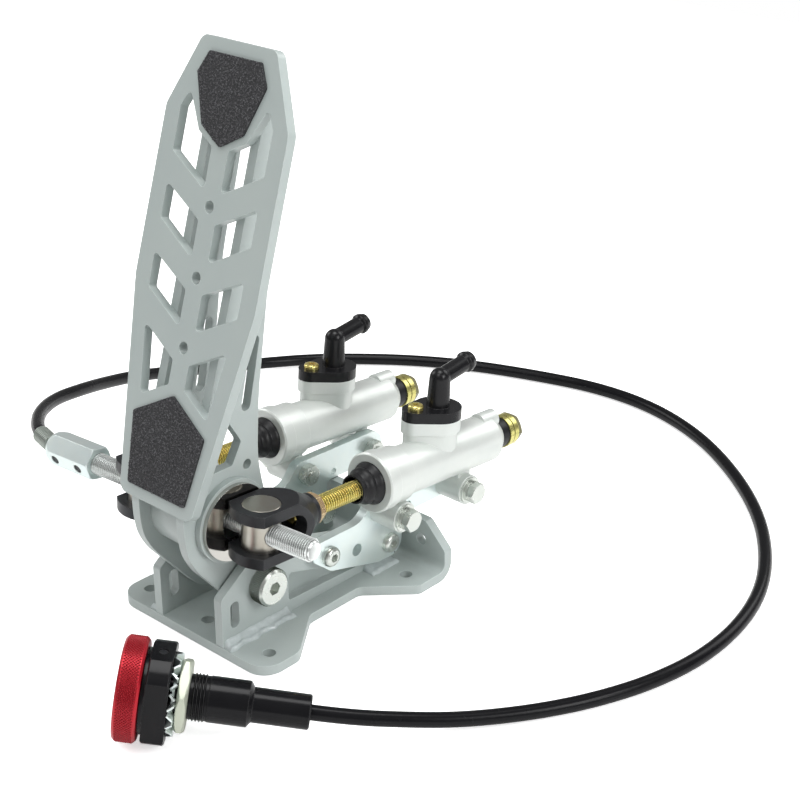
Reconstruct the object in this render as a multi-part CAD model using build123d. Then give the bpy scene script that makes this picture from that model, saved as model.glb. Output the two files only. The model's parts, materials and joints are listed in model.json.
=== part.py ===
from build123d import *
from math import acos, atan2, cos, degrees, hypot, radians, sin, tan
import os

# Floor-mounted brake pedal: pedal box, pedal with balance bar, two master cylinders and a remote
# bias adjuster on its cable. Millimetres. +X is the right-hand side, +Y points forward, away from
# the driver, +Z is up. The origin is the axis of the front centre bolt hole, on the underside of
# the base plate. Outlines are lists of (first axis, second axis, corner radius).

# Sheet and clearances
plate = 5.0                      # every laser-cut plate of the frame, the pedal and the brackets
running_gap = 0.3                # between parts that move past each other, and at a soft seat
fit_gap = 0.05                   # radial clearance of a pin or shaft in its hole

# Base plate with its bent-up rear flange
wing_x = 52.5                    # half width over the front wings
wing_corner_r = 11.0
wing_rear_y, wing_rear_r = 10.0, 8.0
front_edge_y = -12.5
waist_x = 33.5                   # half width between wings and ears
waist_front_y, waist_rear_y = 36.0, 70.5
waist_r = 6.0
ear_x, ear_r = 55.0, 4.0         # half width over the rear ears
flange_face_y = 111.0            # inner face of the rear flange
flange_top_z = 29.0
flange_corner = 13.0             # 45 degree cut of the flange's top corners
bend_r = 4.0
floor_bolt_x = 42.5              # half the width of the floor bolt pattern
floor_bolt_rear_y = 95.5         # its depth: the front bolts stand on y = 0
floor_hole_r = 3.3
flange_hole_x, flange_hole_z, flange_hole_r = 39.0, 17.5, 3.2

# Side plates of the frame
frame_inner_x = 19.2             # half the distance between the side plates
side_outline = [(-12.2, plate, 0), (-12.2, 31.0, 3), (6.5, 44.0, 4), (33.0, 44.0, 5),
                (104.0, 22.0, 4), (106.0, 22.0, 0), (106.0, plate, 0)]
side_window = [(31.0, 11.5, 2), (31.0, 27.2, 2.5), (87.0, 9.5, 1)]
side_slot_y, side_slot_z = -4.0, 20.0
side_slot_length, side_slot_width = 14.0, 5.6
front_weld, front_weld_y = (5.3, 3.8), (-11.6, 31.0)   # legs outward and upward
rear_weld_out, rear_weld_y = 7.8, (83.0, 103.0)
weld_bulge = 0.58                # of both legs, where 0.5 is a flat bead

# Brackets between the frame and the cylinders, and their bolts
bracket_low_z, bracket_lift = 8.6, 0.9   # lowest edge, and clearance over the flange
bracket_notch = flange_face_y - 3.6
bracket_outline = [(43.5, 38.2, 6), (78.0, 37.4, 12), (86.0, 48.0, 6), (150.0, 45.4, 8.2),
                   (149.2, 28.3, 8.2), (bracket_notch, flange_top_z + bracket_lift, 3.0),
                   (106.6, bracket_low_z, 8.4),
                   (89.0, bracket_low_z + 1.0, 10), (55.5, 19.3, 8), (43.0, 29.5, 5)]
bracket_bolts_yz = [(54.9, 28.1), (97.7, 17.6)]
bracket_hole_yz, bracket_hole_r = (74.0, 23.2), 3.3
bracket_vent_yz, bracket_vent_r = (112.0, 33.5), 2.0
bolt_r = 3.0                     # M6, everywhere
bolt_end = 1.0                   # thread that stands out of each nut
button_r, button_h, button_socket, button_socket_depth = 5.25, 3.3, 4.0, 2.0
button_crown = 0.7               # rounding of the head over its height
hex_head_af, hex_head_h = 10.0, 4.2
nut_af, nut_h = 10.0, 5.4
hex_chamfer_angle = 30.0         # degrees, on the corners of every hexagon
washer_r, washer_t = 7.0, 1.2
spring_washer_r, spring_washer_t, spring_washer_slit = 5.6, 1.4, 0.8

# Pedal pivot
pivot_y, pivot_z = 14.7, 29.0
pivot_bolt_r, pivot_thread_r = 6.0, 5.0
pivot_head_r, pivot_head_h, pivot_head_edge = 9.2, 8.0, 1.1
pivot_socket, pivot_socket_depth = 6.0, 4.5
pivot_nut_af, pivot_nut_h = 17.0, 9.0
pivot_tube_r, pivot_bush_r = 11.0, 8.0
pivot_boss_r = 14.6              # rounded foot of the arms
bush_flange_r, bush_flange_t, bush_len = 10.0, 0.9, 12.0

# Pedal pad: (across, up the slope, corner radius), right half
pad_tilt = 17.6                  # degrees that the pad leans forward
pad_foot_y, pad_foot_z = -26.4, 84.4
pad_low = -5.7
pad_corner_r, window_r = 5.0, 1.8
pad_outline = [(24.4, pad_low, pad_corner_r), (39.4, 94.0, 9), (38.8, 172.0, 9), (23.0, 205.4, pad_corner_r)]
spine_half, rail_x = 5.3, 29.5   # inner and outer half width of the windows
pad_windows = [
    [(spine_half, 158.8), (15.2, 164.2), (24.8, 181.0), (rail_x, 172.5), (rail_x, 152.5), (spine_half, 139.5)],
    [(spine_half, 126.0), (rail_x, 138.5), (rail_x, 121.8), (spine_half, 108.6)],
    [(spine_half, 94.5), (rail_x, 106.8), (rail_x, 90.0), (spine_half, 77.2)],
    [(spine_half, 62.1), (27.6, 74.2), (22.4, 41.2), (spine_half, 50.6)]]
spine_holes_v, spine_hole_r = (133.0, 101.0, 69.0), 2.9
grip_t, grip_r = 1.0, 1.2
grip_upper_half = [(16.3, 199.0), (21.7, 189.0), (13.3, 167.0)]
grip_upper_tip = 159.4
grip_lower_half = [(19.3, 0.0), (23.8, 33.2)]
grip_lower_tip = 46.7

# Pedal arms, side view
arm_inner_x = 13.0
arm_nose = 2.0                   # from the pad's front face to the arm's foremost edge
arm_front = [(-26.5, 75.5), (-26.3, 65.5), (-24.8, 57.0), (-20.0, 47.5)]
arm_rear = [(25.5, 66.0), (22.4, 77.5), (20.3, 91.0), (20.5, 101.0), (22.4, 125.5), (26.7, 151.0),
            (29.6, 170.0), (34.6, 191.5), (41.1, 210.5), (45.6, 227.0), (49.0, 241.0), (47.6, 257.7),
            (44.7, 274.5)]
arm_top_v = 200.0
arm_slot = ((13.5, 118.0), (21.8, 153.0))
arm_slot_width = 5.5
arm_window = [(3.0, 116.3, 1.5), (10.3, 103.9, 2), (4.2, 93.6, 2), (-11.0, 93.8, 2), (-8.0, 108.0, 2)]
arm_hole_yz, arm_hole_r = (13.3, 91.0), 2.5

# Balance bar and its spherical bearing, in the pedal
bar_y, bar_z = 0.6, 67.4
bar_yaw = 4.68                   # degrees: the bar's right end is set forward
bar_r = 5.55
bar_right, bar_left, bar_end_chamfer = 68.6, -86.0, 1.0
bias_tube_r, bias_bore_r, bias_tube_half = 20.6, 15.0, 21.2
disc_r, disc_t, disc_hole_r = 19.0, 2.2, 8.5
race_half, ball_r, ball_half = 6.0, 11.0, 7.5

# Clevises and push rods, from the trunnion's centre forward along the rod
trunnion_r, trunnion_chamfer = 9.1, 0.4
clevis_half_h, clevis_gap_half, clevis_half_w = 13.3, 7.8, 11.8
clevis_disc_gap = 1.2            # from the polished disc to the clevis
clevis_rear, clevis_rear_r = -13.6, 18.3     # rounded rear end, seen from above
clevis_slot_end = 18.0
clevis_cone = [(11.8, 17.9), (20.3, 13.3)]   # (station, radius) of the turned front end
shank_start, shank_r, shank_end = 29.0, 8.2, 31.0
jam_nut_af, jam_nut_t = 13.5, 4.2
rod_r, rod_start = 4.75, 18.5
rod_neck_r, rod_neck = 3.2, 8.0
ball_end_r, ball_cup_gap = 5.2, 1.0

# Master cylinders: +Y runs along the bore from the mouth, +Z is square to it
cyl_y, cyl_z = 75.6, 62.8        # centre of the mouth
cyl_drop = 5.0                   # degrees that the bore falls forward
mouth_r, mouth_bore_r, mouth_depth, mouth_chamfer = 15.3, 10.9, 14.0, 0.8
rim_end, collar_r, collar_end, collar_blend = 7.4, 14.3, 19.5, 1.2
barrel_r, barrel_end = 12.6, 87.5
nose_r, nose_end = 9.0, 93.0
bore_r, bore_end = 9.525, 86.0
feet_s = (17.7, 67.2)
foot_drop, foot_r, foot_reach = 20.8, 7.9, 8.8
foot_web_x, foot_web_s = 5.0, 4.6
port_s, port_top, port_pad_t = 48.1, 23.0, 6.5
port_r, port_lobe, port_lobe_r = 12.0, (-4.0, -12.4), 6.8
port_neck_in = 1.3               # how far the neck stands inside the port pad's edge
port_hole_r = 3.0
bleed_r, bleed_h, bleed_s = 5.0, 9.8, (81.0, 92.8)

# Retaining ring, rubber boot, piston, its seals and its return spring
ring_t, ring_bore_r = 1.6, 8.2
boot_outer = [(-11.5, 7.3), (-7.2, 7.7), (-4.0, 9.0), (-0.4, 9.8), (0.6, mouth_bore_r - fit_gap),
              (5.0, mouth_bore_r - fit_gap)]
boot_inner = [(5.0, 9.2), (-0.4, 8.6), (-4.0, 7.6), (-7.2, 6.3), (-11.5, 6.3)]
piston_len, piston_r = 34.0, bore_r - fit_gap
ball_seat_s = 20.0               # the push rod's ball centre at rest
seal_root_r, seal_t = 7.4, 3.0
seal_from_rear, seal_from_front = 14.7, 1.8
spring_r, spring_wire_r, spring_turns = 6.6, 0.7, 7

# Feed adaptor with its hose spout
adaptor_t = 5.5
spout_low_r, spout_high_r, spout_rise = 5.9, 5.3, 14.6
spout_tube_r, spout_bore_r = 4.4, 2.4
spout_reach, spout_tilt = 23.0, 11.7
spout_barb_r, spout_barb = 5.4, 5.5
spout_barb_slope, spout_barb_flat = 1.2, 1.6
adaptor_seal_r, adaptor_seal_t = 6.6, 2.0
adaptor_screw_r, adaptor_screw_len = 2.0, 11.0
pan_head_r, pan_head_h = 3.9, 2.4
cross_width, cross_length, cross_depth = 0.9, 4.2, 1.2

# Outlet: union, two sealing rings and a protective cap
union_r, union_start, union_chamfer = 4.6, 88.0, 0.8
outlet_seal_t, union_flange_t, union_gap_t, union_rear_t = 6.5, 2.9, 1.0, 3.1
outlet_seal_r, union_flange_r, gap_seal_r, union_rear_r = 8.2, 8.8, 7.9, 8.5
outlet_cap_af, outlet_cap_h, cap_shoulder_h, cap_top_r = 15.0, 5.7, 2.4, 3.6

# Coupler on the bar's left end
coupler_af, coupler_right, coupler_left = 15.6, -69.7, -101.4
coupler_turn = 47.0              # degrees to the hexagon's first corner
coupler_corner_r = 8.9
coupler_nose = [(0, 6.5), (1.4, 7.7), (4.5, coupler_corner_r)]   # from the cable's end
coupler_edge = 0.8
grub_r, grub_angle, grub_sunk = 2.4, 197.0, 0.5
grub_bar_s, grub_cable_s = -77.5, -93.5

# Remote adjuster lying on the floor: local +X runs from the knob to the cable
knob_x, knob_y = 36.35, -82.63   # centre of the knob's outer face
adjuster_heading = 41.3          # degrees from +X towards +Y
adjuster_tilt = 8.5              # degrees that the axis falls towards the cable
knob_r, knob_t, knob_edge = 22.9, 10.2, 1.0
spindle_r = 5.0
adjuster_neck_r, adjuster_neck_t = 19.0, 2.0
adjuster_body_r, adjuster_body_t, adjuster_body_edge = 22.6, 10.1, 0.6
adjuster_facet, wrench_flat = 21.4, 16.8     # from the axis to the facet on top and to the two flats
set_screw_r, set_screw_len = 2.0, 6.0
adjuster_thread_r, adjuster_thread = 9.9, 16.6      # root of its thread
tooth_washer_r, tooth_washer_t, tooth_count, tooth_depth = 18.4, 2.4, 22, 2.2
adjuster_nut_af, adjuster_nut_t = 31.0, 5.6
adjuster_barrel_r, adjuster_barrel = 10.2, 17.4
adjuster_tail_r, adjuster_tail, adjuster_chamfer = 7.8, 27.2, 1.8
tail_edge = 0.6

# Cable from the coupler, down to the floor and round to the adjuster
cable_r = 3.6
cable_start_gap = 1.5            # from the coupler's end to the centre of the cable's first face
cable_start_angle = 14.0         # degrees by which it leaves -X towards +Y
cable_first_run = 14.0
cable_route = [(-130.0, 2.6, 65.2), (-148.5, 17.6, 61.6), (-165.5, 40.0, 56.0), (-176.0, 65.5, 49.5),
               (-187.5, 90.0, 41.5), (-196.5, 117.0, 33.5), (-203.5, 147.0, 24.0), (-206.0, 184.0, 13.5),
               (-200.0, 222.0, 6.0), (-185.0, 252.0, cable_r), (-162.0, 274.5, cable_r),
               (-133.0, 297.5, cable_r), (-99.0, 317.0, cable_r), (-60.0, 332.0, cable_r),
               (-20.0, 343.5, cable_r), (22.0, 343.5, cable_r), (66.0, 328.5, cable_r),
               (107.0, 301.5, cable_r), (142.0, 269.5, cable_r), (167.5, 235.0, cable_r),
               (184.0, 202.0, cable_r), (192.5, 167.0, cable_r), (193.5, 133.0, cable_r),
               (187.5, 102.0, cable_r), (177.8, 76.5, cable_r), (166.6, 55.4, cable_r), (154.2, 35.9, 4.2),
               (141.9, 18.2, 5.6), (129.6, 2.9, 7.8)]
cable_last_run = 17.0

frame_outer_x = frame_inner_x + plate
bracket_outer_x = frame_outer_x + plate
rear_weld = (rear_weld_out, bracket_low_z - plate - running_gap)
piston_rear_s = mouth_depth + running_gap
piston_front_s = piston_rear_s + piston_len
seal_s = (piston_rear_s + seal_from_rear, piston_front_s - seal_t - seal_from_front)
rod_x = bias_tube_half + disc_t + clevis_disc_gap + clevis_half_w   # half the cylinders' distance
flange_start_s = nose_end + outlet_seal_t
gap_start_s = flange_start_s + union_flange_t
rear_start_s = gap_start_s + union_gap_t
cap_start_s = rear_start_s + union_rear_t
body_start = knob_t + running_gap
body_mid = knob_t + adjuster_neck_t
body_end = body_mid + adjuster_body_t
knob_z = (adjuster_body_r * cos(radians(adjuster_tilt))
          + (body_end - adjuster_body_edge) * sin(radians(adjuster_tilt)))   # the body's edge meets the floor
washer_end = body_end + tooth_washer_t
thread_end = body_end + adjuster_thread
barrel_end_x = thread_end + adjuster_barrel
tail_end_x = barrel_end_x + adjuster_tail
pad_plane = Plane(origin=(0, pad_foot_y, pad_foot_z), x_dir=(1, 0, 0),
                  z_dir=(0, -cos(radians(pad_tilt)), sin(radians(pad_tilt))))
sides = {"left": -1, "right": 1}


# Shapes

def outline(corners):
    """Flat outline from (a, b, corner radius) triples."""
    return make_face(FilletPolyline(*[c[:2] for c in corners], radius=[c[2] for c in corners], close=True))


def mirrored(half):
    """Both halves of an outline whose right half is given."""
    return list(half) + [(-a, *rest) for a, *rest in reversed(half)]


def rounded(points, radius):
    """Give every point of an outline the same corner radius."""
    return [(*point, radius) for point in points]


def eased(points, before, after):
    """Give each point the radius of the largest arc that its two runs allow."""
    chain = [Vector(*p) for p in (before, *points, after)]
    result = []
    for low, mid, high in zip(chain, chain[1:], chain[2:]):
        first, second = mid - low, high - mid
        half_turn = radians(first.get_angle(second)) / 2
        result.append(0.45 * min(first.length, second.length) / tan(half_turn))
    return result


def yz_plate(profile, x_low, x_high):
    """Flat plate whose outline lies in the YZ plane, between two X positions."""
    return extrude(Plane.YZ.offset(x_low) * profile, x_high - x_low, dir=(1, 0, 0))


def side_x(inner, thickness, sign):
    """X range of a piece whose inner face stands off the middle plane, on one side."""
    return (inner, inner + thickness) if sign > 0 else (-inner - thickness, -inner)


def x_pin(radius, x_low, x_high, y=0.0, z=0.0):
    """Round bar along X."""
    return Location((x_low, y, z), (0, 90, 0)) * Cylinder(
        radius, x_high - x_low, align=(Align.CENTER, Align.CENTER, Align.MIN))


def y_pin(radius, y_low, y_high, x=0.0, z=0.0):
    """Round bar along Y."""
    return Location((x, y_low, z), (-90, 0, 0)) * Cylinder(
        radius, y_high - y_low, align=(Align.CENTER, Align.CENTER, Align.MIN))


def z_pin(radius, z_low, z_high, x=0.0, y=0.0):
    """Round bar along Z."""
    return Pos(x, y, z_low) * Cylinder(radius, z_high - z_low, align=(Align.CENTER, Align.CENTER, Align.MIN))


def x_hex(across_flats, x_low, x_high, y=0.0, z=0.0, turn=0.0):
    """Hexagonal bar along X; turn is the angle of its first corner from +Y towards +Z."""
    hexagon = RegularPolygon(across_flats / 2, 6, major_radius=False, rotation=turn)
    return Pos(0, y, z) * yz_plate(hexagon, x_low, x_high)


def turned(profile):
    """Solid turned about Y from (y, radius) points that run along the axis."""
    points = [(0, profile[0][0])] + [(r, y) for y, r in profile] + [(0, profile[-1][0])]
    return revolve(make_face(Polyline(*points, close=True)), Axis.Y)


def turned_x(profile):
    """Solid turned about X from (x, radius) points."""
    return Rot(0, 0, -90) * turned(profile)


def hexagon(across_flats, x_low, x_high, y=0.0, z=0.0):
    """Hexagon along X with the corners chamfered at both ends, as nuts and bolt heads have."""
    flat, corner = across_flats / 2, across_flats / 3 ** 0.5
    chamfer = (corner - flat) * tan(radians(hex_chamfer_angle))
    rounding = turned_x([(x_low, flat), (x_low + chamfer, corner), (x_high - chamfer, corner), (x_high, flat)])
    return Pos(0, y, z) * (x_hex(across_flats, x_low, x_high) & rounding)


def ring(outer_r, inner_r, low, high):
    """Plain ring along Y."""
    return y_pin(outer_r, low, high) - y_pin(inner_r, low - 1, high + 1)


def on_bar(shape):
    """Place a shape that was modelled along X on the yawed balance bar."""
    return Location((0, bar_y, bar_z), (0, 0, bar_yaw)) * shape


def on_adjuster(shape):
    """Place a shape that was modelled along X on the remote adjuster's axis."""
    return Location((knob_x, knob_y, knob_z), (0, 0, adjuster_heading)) * Rot(0, adjuster_tilt, 0) * shape


def on_cylinder(sign, shape):
    """Place a shape that was modelled in the frame of one master cylinder."""
    return Location((sign * rod_x, cyl_y, cyl_z), (-cyl_drop, 0, 0)) * shape


def cylinder_point(s, height):
    """Side view position of a point given along and above a cylinder's bore."""
    drop = radians(cyl_drop)
    return (cyl_y + s * cos(drop) + height * sin(drop), cyl_z - s * sin(drop) + height * cos(drop))


def rod_line(sign):
    """Trunnion height position, length and fall of one push rod at rest."""
    start_y = bar_y + sign * rod_x * tan(radians(bar_yaw))
    seat_y, seat_z = cylinder_point(ball_seat_s, 0)
    reach, fall = seat_y - start_y, bar_z - seat_z
    return start_y, hypot(reach, fall), degrees(atan2(fall, reach))


def on_rod(sign, shape):
    """Place a shape that was modelled along +Y from the trunnion's centre on one push rod."""
    start_y, _, fall = rod_line(sign)
    return Location((sign * rod_x, start_y, bar_z), (-fall, 0, 0)) * shape


def pad_point(v, depth):
    """Side view position of a point up the pad's slope, at a depth behind its front face."""
    tilt = radians(pad_tilt)
    return pad_foot_y + v * sin(tilt) + depth * cos(tilt), pad_foot_z + v * cos(tilt) - depth * sin(tilt)


def tangent_point(point, side):
    """Where a straight edge from a point touches the arm's rounded foot."""
    dy, dz = point[0] - pivot_y, point[1] - pivot_z
    angle = atan2(dz, dy) + side * acos(pivot_boss_r / hypot(dy, dz))
    return pivot_y + pivot_boss_r * cos(angle), pivot_z + pivot_boss_r * sin(angle)


# Frame

def base_plate():
    """Laser-cut floor plate with the rear flange bent up."""
    rear_y, top = flange_face_y + plate, flange_top_z
    section = [(front_edge_y, 0, 0), (rear_y, 0, bend_r + plate), (rear_y, top, 0),
               (flange_face_y, top, 0), (flange_face_y, plate, bend_r), (front_edge_y, plate, 0)]
    ear_front_y = waist_rear_y + ear_x - waist_x
    plan = [(wing_x, front_edge_y, wing_corner_r), (wing_x, wing_rear_y, wing_rear_r),
            (waist_x, waist_front_y, waist_r), (waist_x, waist_rear_y, waist_r),
            (ear_x, ear_front_y, ear_r), (ear_x, rear_y + 1, 0)]
    face = [(ear_x, -1, 0), (ear_x, top - flange_corner, 3), (ear_x - flange_corner, top, 3)]
    sheet = yz_plate(outline(section), -ear_x, ear_x)
    sheet &= Pos(0, 0, -1) * extrude(outline(mirrored(plan)), top + 2, dir=(0, 0, 1))
    sheet &= extrude(Plane.XZ.offset(-front_edge_y + 1) * outline(mirrored(face)),
                     rear_y - front_edge_y + 2, dir=(0, 1, 0))
    holes = [(0, 0)] + [(s * floor_bolt_x, y) for s in (-1, 1) for y in (0, floor_bolt_rear_y)]
    for x, y in holes:
        sheet -= z_pin(floor_hole_r, -1, plate + 1, x, y)
    for sign in (-1, 1):
        sheet -= y_pin(flange_hole_r, flange_face_y - 1, rear_y + 1, sign * flange_hole_x, flange_hole_z)
    return sheet


def side_plate(sign):
    """Upright plate that carries the pivot and the bracket of one side."""
    face = outline(side_outline) - outline(side_window)
    face -= Pos(side_slot_y, side_slot_z) * SlotOverall(side_slot_length, side_slot_width, rotation=90)
    face -= Pos(pivot_y, pivot_z) * Circle((pivot_bolt_r if sign > 0 else pivot_thread_r) + fit_gap)
    for y, z in bracket_bolts_yz:
        face -= Pos(y, z) * Circle(bolt_r + fit_gap)
    return yz_plate(face, *side_x(frame_inner_x, plate, sign))


def frame_welds():
    """Weld beads along the outer foot of both side plates."""
    beads = []
    for (out, up), (low, high) in ((front_weld, front_weld_y), (rear_weld, rear_weld_y)):
        face = make_face(Polyline((0, up), (0, 0), (out, 0)) + ThreePointArc(
            (out, 0), (weld_bulge * out, weld_bulge * up), (0, up)))
        bead = extrude(Plane(origin=(frame_outer_x, low, plate), x_dir=(1, 0, 0), z_dir=(0, -1, 0)) * face,
                       high - low, dir=(0, 1, 0))
        beads += [bead, mirror(bead, Plane.YZ)]
    return beads


def foot_points():
    """Side view positions of the two cylinder foot bolts."""
    return [cylinder_point(s, -foot_drop) for s in feet_s]


def bracket(sign):
    """Zinc-plated plate that carries one master cylinder."""
    face = outline(bracket_outline)
    face -= Pos(*bracket_hole_yz) * Circle(bracket_hole_r)
    face -= Pos(*bracket_vent_yz) * Circle(bracket_vent_r)
    for y, z in bracket_bolts_yz + foot_points():
        face -= Pos(y, z) * Circle(bolt_r + fit_gap)
    return yz_plate(face, *side_x(frame_outer_x, plate, sign))


def both_ways(sign, shape):
    """A shape modelled on the right side, turned about Z for the left side."""
    return shape if sign > 0 else mirror(shape, Plane.YZ)


def bracket_bolts():
    """Four socket button-head bolts through brackets and side plates."""
    end_x = frame_inner_x - nut_h - bolt_end
    bolts = []
    for sign in (-1, 1):
        for y, z in bracket_bolts_yz:
            head = x_pin(button_r, bracket_outer_x, bracket_outer_x + button_h, y, z)
            head = fillet(head.edges().sort_by(Axis.X)[-1], button_h * button_crown)
            head -= x_hex(button_socket, bracket_outer_x + button_h - button_socket_depth,
                          bracket_outer_x + button_h + 1, y, z)
            bolts.append(both_ways(sign, head + x_pin(bolt_r, end_x, bracket_outer_x, y, z)))
    return bolts


def hex_nut(across_flats, x_low, x_high, y, z, thread_r):
    """Plain hexagon nut along X."""
    return hexagon(across_flats, x_low, x_high, y, z) - x_pin(thread_r + fit_gap, x_low - 1, x_high + 1, y, z)


def bracket_nuts():
    """Their nuts, inside the side plates."""
    return [both_ways(sign, hex_nut(nut_af, frame_inner_x - nut_h, frame_inner_x, y, z, bolt_r))
            for sign in (-1, 1) for y, z in bracket_bolts_yz]


def foot_outer_x():
    """Outer face of the cylinders' feet."""
    return rod_x + foot_reach


def cylinder_bolts():
    """Four hexagon bolts through the cylinders' feet and the brackets."""
    head_x, end_x = foot_outer_x() + washer_t + spring_washer_t, frame_outer_x - nut_h - bolt_end
    return [both_ways(sign, hexagon(hex_head_af, head_x, head_x + hex_head_h, y, z)
                      + x_pin(bolt_r, end_x, head_x, y, z))
            for sign in (-1, 1) for y, z in foot_points()]


def cylinder_washers():
    """Flat washers under the heads of the foot bolts."""
    low = foot_outer_x()
    return [both_ways(sign, x_pin(washer_r, low, low + washer_t, y, z)
                      - x_pin(bolt_r + fit_gap, low - 1, low + washer_t + 1, y, z))
            for sign in (-1, 1) for y, z in foot_points()]


def spring_washers():
    """Split spring washers between the flat washers and the heads."""
    low = foot_outer_x() + washer_t
    high = low + spring_washer_t
    split = Pos((low + high) / 2, 0, spring_washer_r) * Rot(0, 0, 45) * Box(
        4 * spring_washer_t, spring_washer_slit, 2 * spring_washer_r)
    washer = x_pin(spring_washer_r, low, high) - x_pin(bolt_r + fit_gap, low - 1, high + 1) - split
    return [both_ways(sign, Pos(0, y, z) * washer) for sign in (-1, 1) for y, z in foot_points()]


def cylinder_nuts():
    """Nuts of the foot bolts, on the brackets' inner faces."""
    return [both_ways(sign, hex_nut(nut_af, frame_outer_x - nut_h, frame_outer_x, y, z, bolt_r))
            for sign in (-1, 1) for y, z in foot_points()]


def pivot_bolt():
    """Shoulder bolt of the pedal, its knurled head on the right."""
    head_end = frame_outer_x + pivot_head_h
    head = turned_x([(frame_outer_x, pivot_head_r), (head_end - pivot_head_edge, pivot_head_r),
                     (head_end, pivot_head_r - pivot_head_edge)])
    head -= x_hex(pivot_socket, head_end - pivot_socket_depth, head_end + 1)
    shoulder = x_pin(pivot_bolt_r, -frame_inner_x, frame_outer_x)
    thread = x_pin(pivot_thread_r, -frame_outer_x - pivot_nut_h - bolt_end, -frame_inner_x)
    return Pos(0, pivot_y, pivot_z) * (head + shoulder + thread)


def pivot_nut():
    """Self-locking nut of the pivot bolt, on the left."""
    return hex_nut(pivot_nut_af, -frame_outer_x - pivot_nut_h, -frame_outer_x, pivot_y, pivot_z,
                   pivot_thread_r)


# Pedal

def pad_plate():
    """Slotted foot plate of the pedal."""
    face = outline(mirrored(pad_outline))
    for window in pad_windows:
        for sign in (-1, 1):
            face -= outline(rounded([(sign * u, v) for u, v in window], window_r))
    for v in spine_holes_v:
        face -= Pos(0, v) * Circle(spine_hole_r)
    return extrude(pad_plane * face, -plate, dir=pad_plane.z_dir)


def grip(half, tip):
    """Grit strip glued to the pad's front face."""
    points = mirrored(half)
    points.insert(len(half), (0, tip))
    return extrude(pad_plane * outline(rounded(points, grip_r)), grip_t, dir=pad_plane.z_dir)


def arm_face():
    """Side view of one pedal arm."""
    front_touch = tangent_point(arm_front[-1], 1)
    rear_touch = tangent_point(arm_rear[0], -1)
    pad_back_low = pad_point(pad_low, plate)
    top = pad_point(arm_top_v, plate)
    front_r = eased(arm_front[1:], arm_front[0], front_touch)
    rear_r = eased(arm_rear[:-1], rear_touch, arm_rear[-1])
    corners = [(*pad_point(pad_low, arm_nose), 0), (*arm_front[0], 1.0),
               *[(*p, r) for p, r in zip(arm_front[1:], front_r)],
               (*front_touch, 0), (pivot_y, pivot_z, 0), (*rear_touch, 0),
               *[(*p, r) for p, r in zip(arm_rear[:-1], rear_r)],
               (*arm_rear[-1], 1.5), (*top, 0), (*pad_back_low, 0)]
    face = outline(corners) + Pos(pivot_y, pivot_z) * Circle(pivot_boss_r)
    face -= Pos(pivot_y, pivot_z) * Circle(pivot_tube_r + fit_gap)
    face -= Pos(bar_y, bar_z) * Circle(bias_tube_r + fit_gap)
    face -= outline(arm_window)
    face -= Pos(*arm_hole_yz) * Circle(arm_hole_r)
    (y0, z0), (y1, z1) = arm_slot
    slot = SlotCenterToCenter(hypot(y1 - y0, z1 - z0) - arm_slot_width, arm_slot_width,
                              rotation=degrees(atan2(z1 - z0, y1 - y0)))
    return face - Pos((y0 + y1) / 2, (z0 + z1) / 2) * slot


def arm(sign):
    """One of the two plates that carry the pad."""
    return yz_plate(arm_face(), *side_x(arm_inner_x, plate, sign))


def pivot_tube():
    """Tube welded through the feet of both arms."""
    half = arm_inner_x + plate
    return Pos(0, pivot_y, pivot_z) * (x_pin(pivot_tube_r, -half, half) - x_pin(pivot_bush_r, -half - 1, half + 1))


def pivot_bushes():
    """Two flanged bronze bushes in the pivot tube."""
    face = arm_inner_x + plate
    bush = x_pin(pivot_bush_r, face - bush_len, face) + x_pin(bush_flange_r, face, face + bush_flange_t)
    bush -= x_pin(pivot_bolt_r + fit_gap, 0, 2 * face)
    return [Pos(0, pivot_y, pivot_z) * both_ways(sign, bush) for sign in (-1, 1)]


def bias_tube():
    """Tube of the balance bar's bearing, welded through both arms."""
    half = bias_tube_half
    return Pos(0, bar_y, bar_z) * (x_pin(bias_tube_r, -half, half) - x_pin(bias_bore_r, -half - 1, half + 1))


def side_discs():
    """Polished discs that close the bias tube round the bar."""
    disc = x_pin(disc_r, bias_tube_half, bias_tube_half + disc_t) - x_pin(disc_hole_r, 0, 2 * bias_tube_half)
    return [Pos(0, bar_y, bar_z) * both_ways(sign, disc) for sign in (-1, 1)]


def bearing_race():
    """Spherical outer race of the bar's bearing."""
    return Pos(0, bar_y, bar_z) * (x_pin(bias_bore_r, -race_half, race_half) - Sphere(ball_r + fit_gap))


def bearing_ball():
    """Ball of the bearing, threaded on the bar."""
    ball = Sphere(ball_r) & x_pin(ball_r + 1, -ball_half, ball_half)
    return on_bar(ball - x_pin(bar_r + fit_gap, -ball_r, ball_r))


def balance_bar():
    """Threaded bar across the pedal."""
    end = bar_end_chamfer
    return on_bar(turned_x([(bar_left, bar_r - end), (bar_left + end, bar_r), (bar_right - end, bar_r),
                            (bar_right, bar_r - end)]))


def grub_pin(station, tip, radius, outer):
    """Pin square to the coupler's axis, on the face with the grub screws."""
    return Rot(grub_angle, 0, 0) * y_pin(radius, tip, outer, station)


def coupler():
    """Hexagonal sleeve between the bar and the flexible drive."""
    body = x_hex(coupler_af, coupler_left, coupler_right, turn=coupler_turn)
    body &= turned_x([(coupler_left + x, radius) for x, radius in coupler_nose]
                     + [(coupler_right - coupler_edge, coupler_corner_r),
                        (coupler_right, coupler_corner_r - coupler_edge)])
    body -= x_pin(bar_r + fit_gap, bar_left - running_gap, coupler_right + 1)
    for station in (grub_bar_s, grub_cable_s):
        body -= grub_pin(station, 0, grub_r + fit_gap, coupler_af)
    return on_bar(body)


def grub_screws():
    """Two grub screws in the coupler."""
    outer = coupler_af / 2 - grub_sunk
    return [on_bar(grub_pin(grub_bar_s, bar_r + fit_gap, grub_r, outer)),
            on_bar(grub_pin(grub_cable_s, 0, grub_r, outer))]


# Push rods

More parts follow.
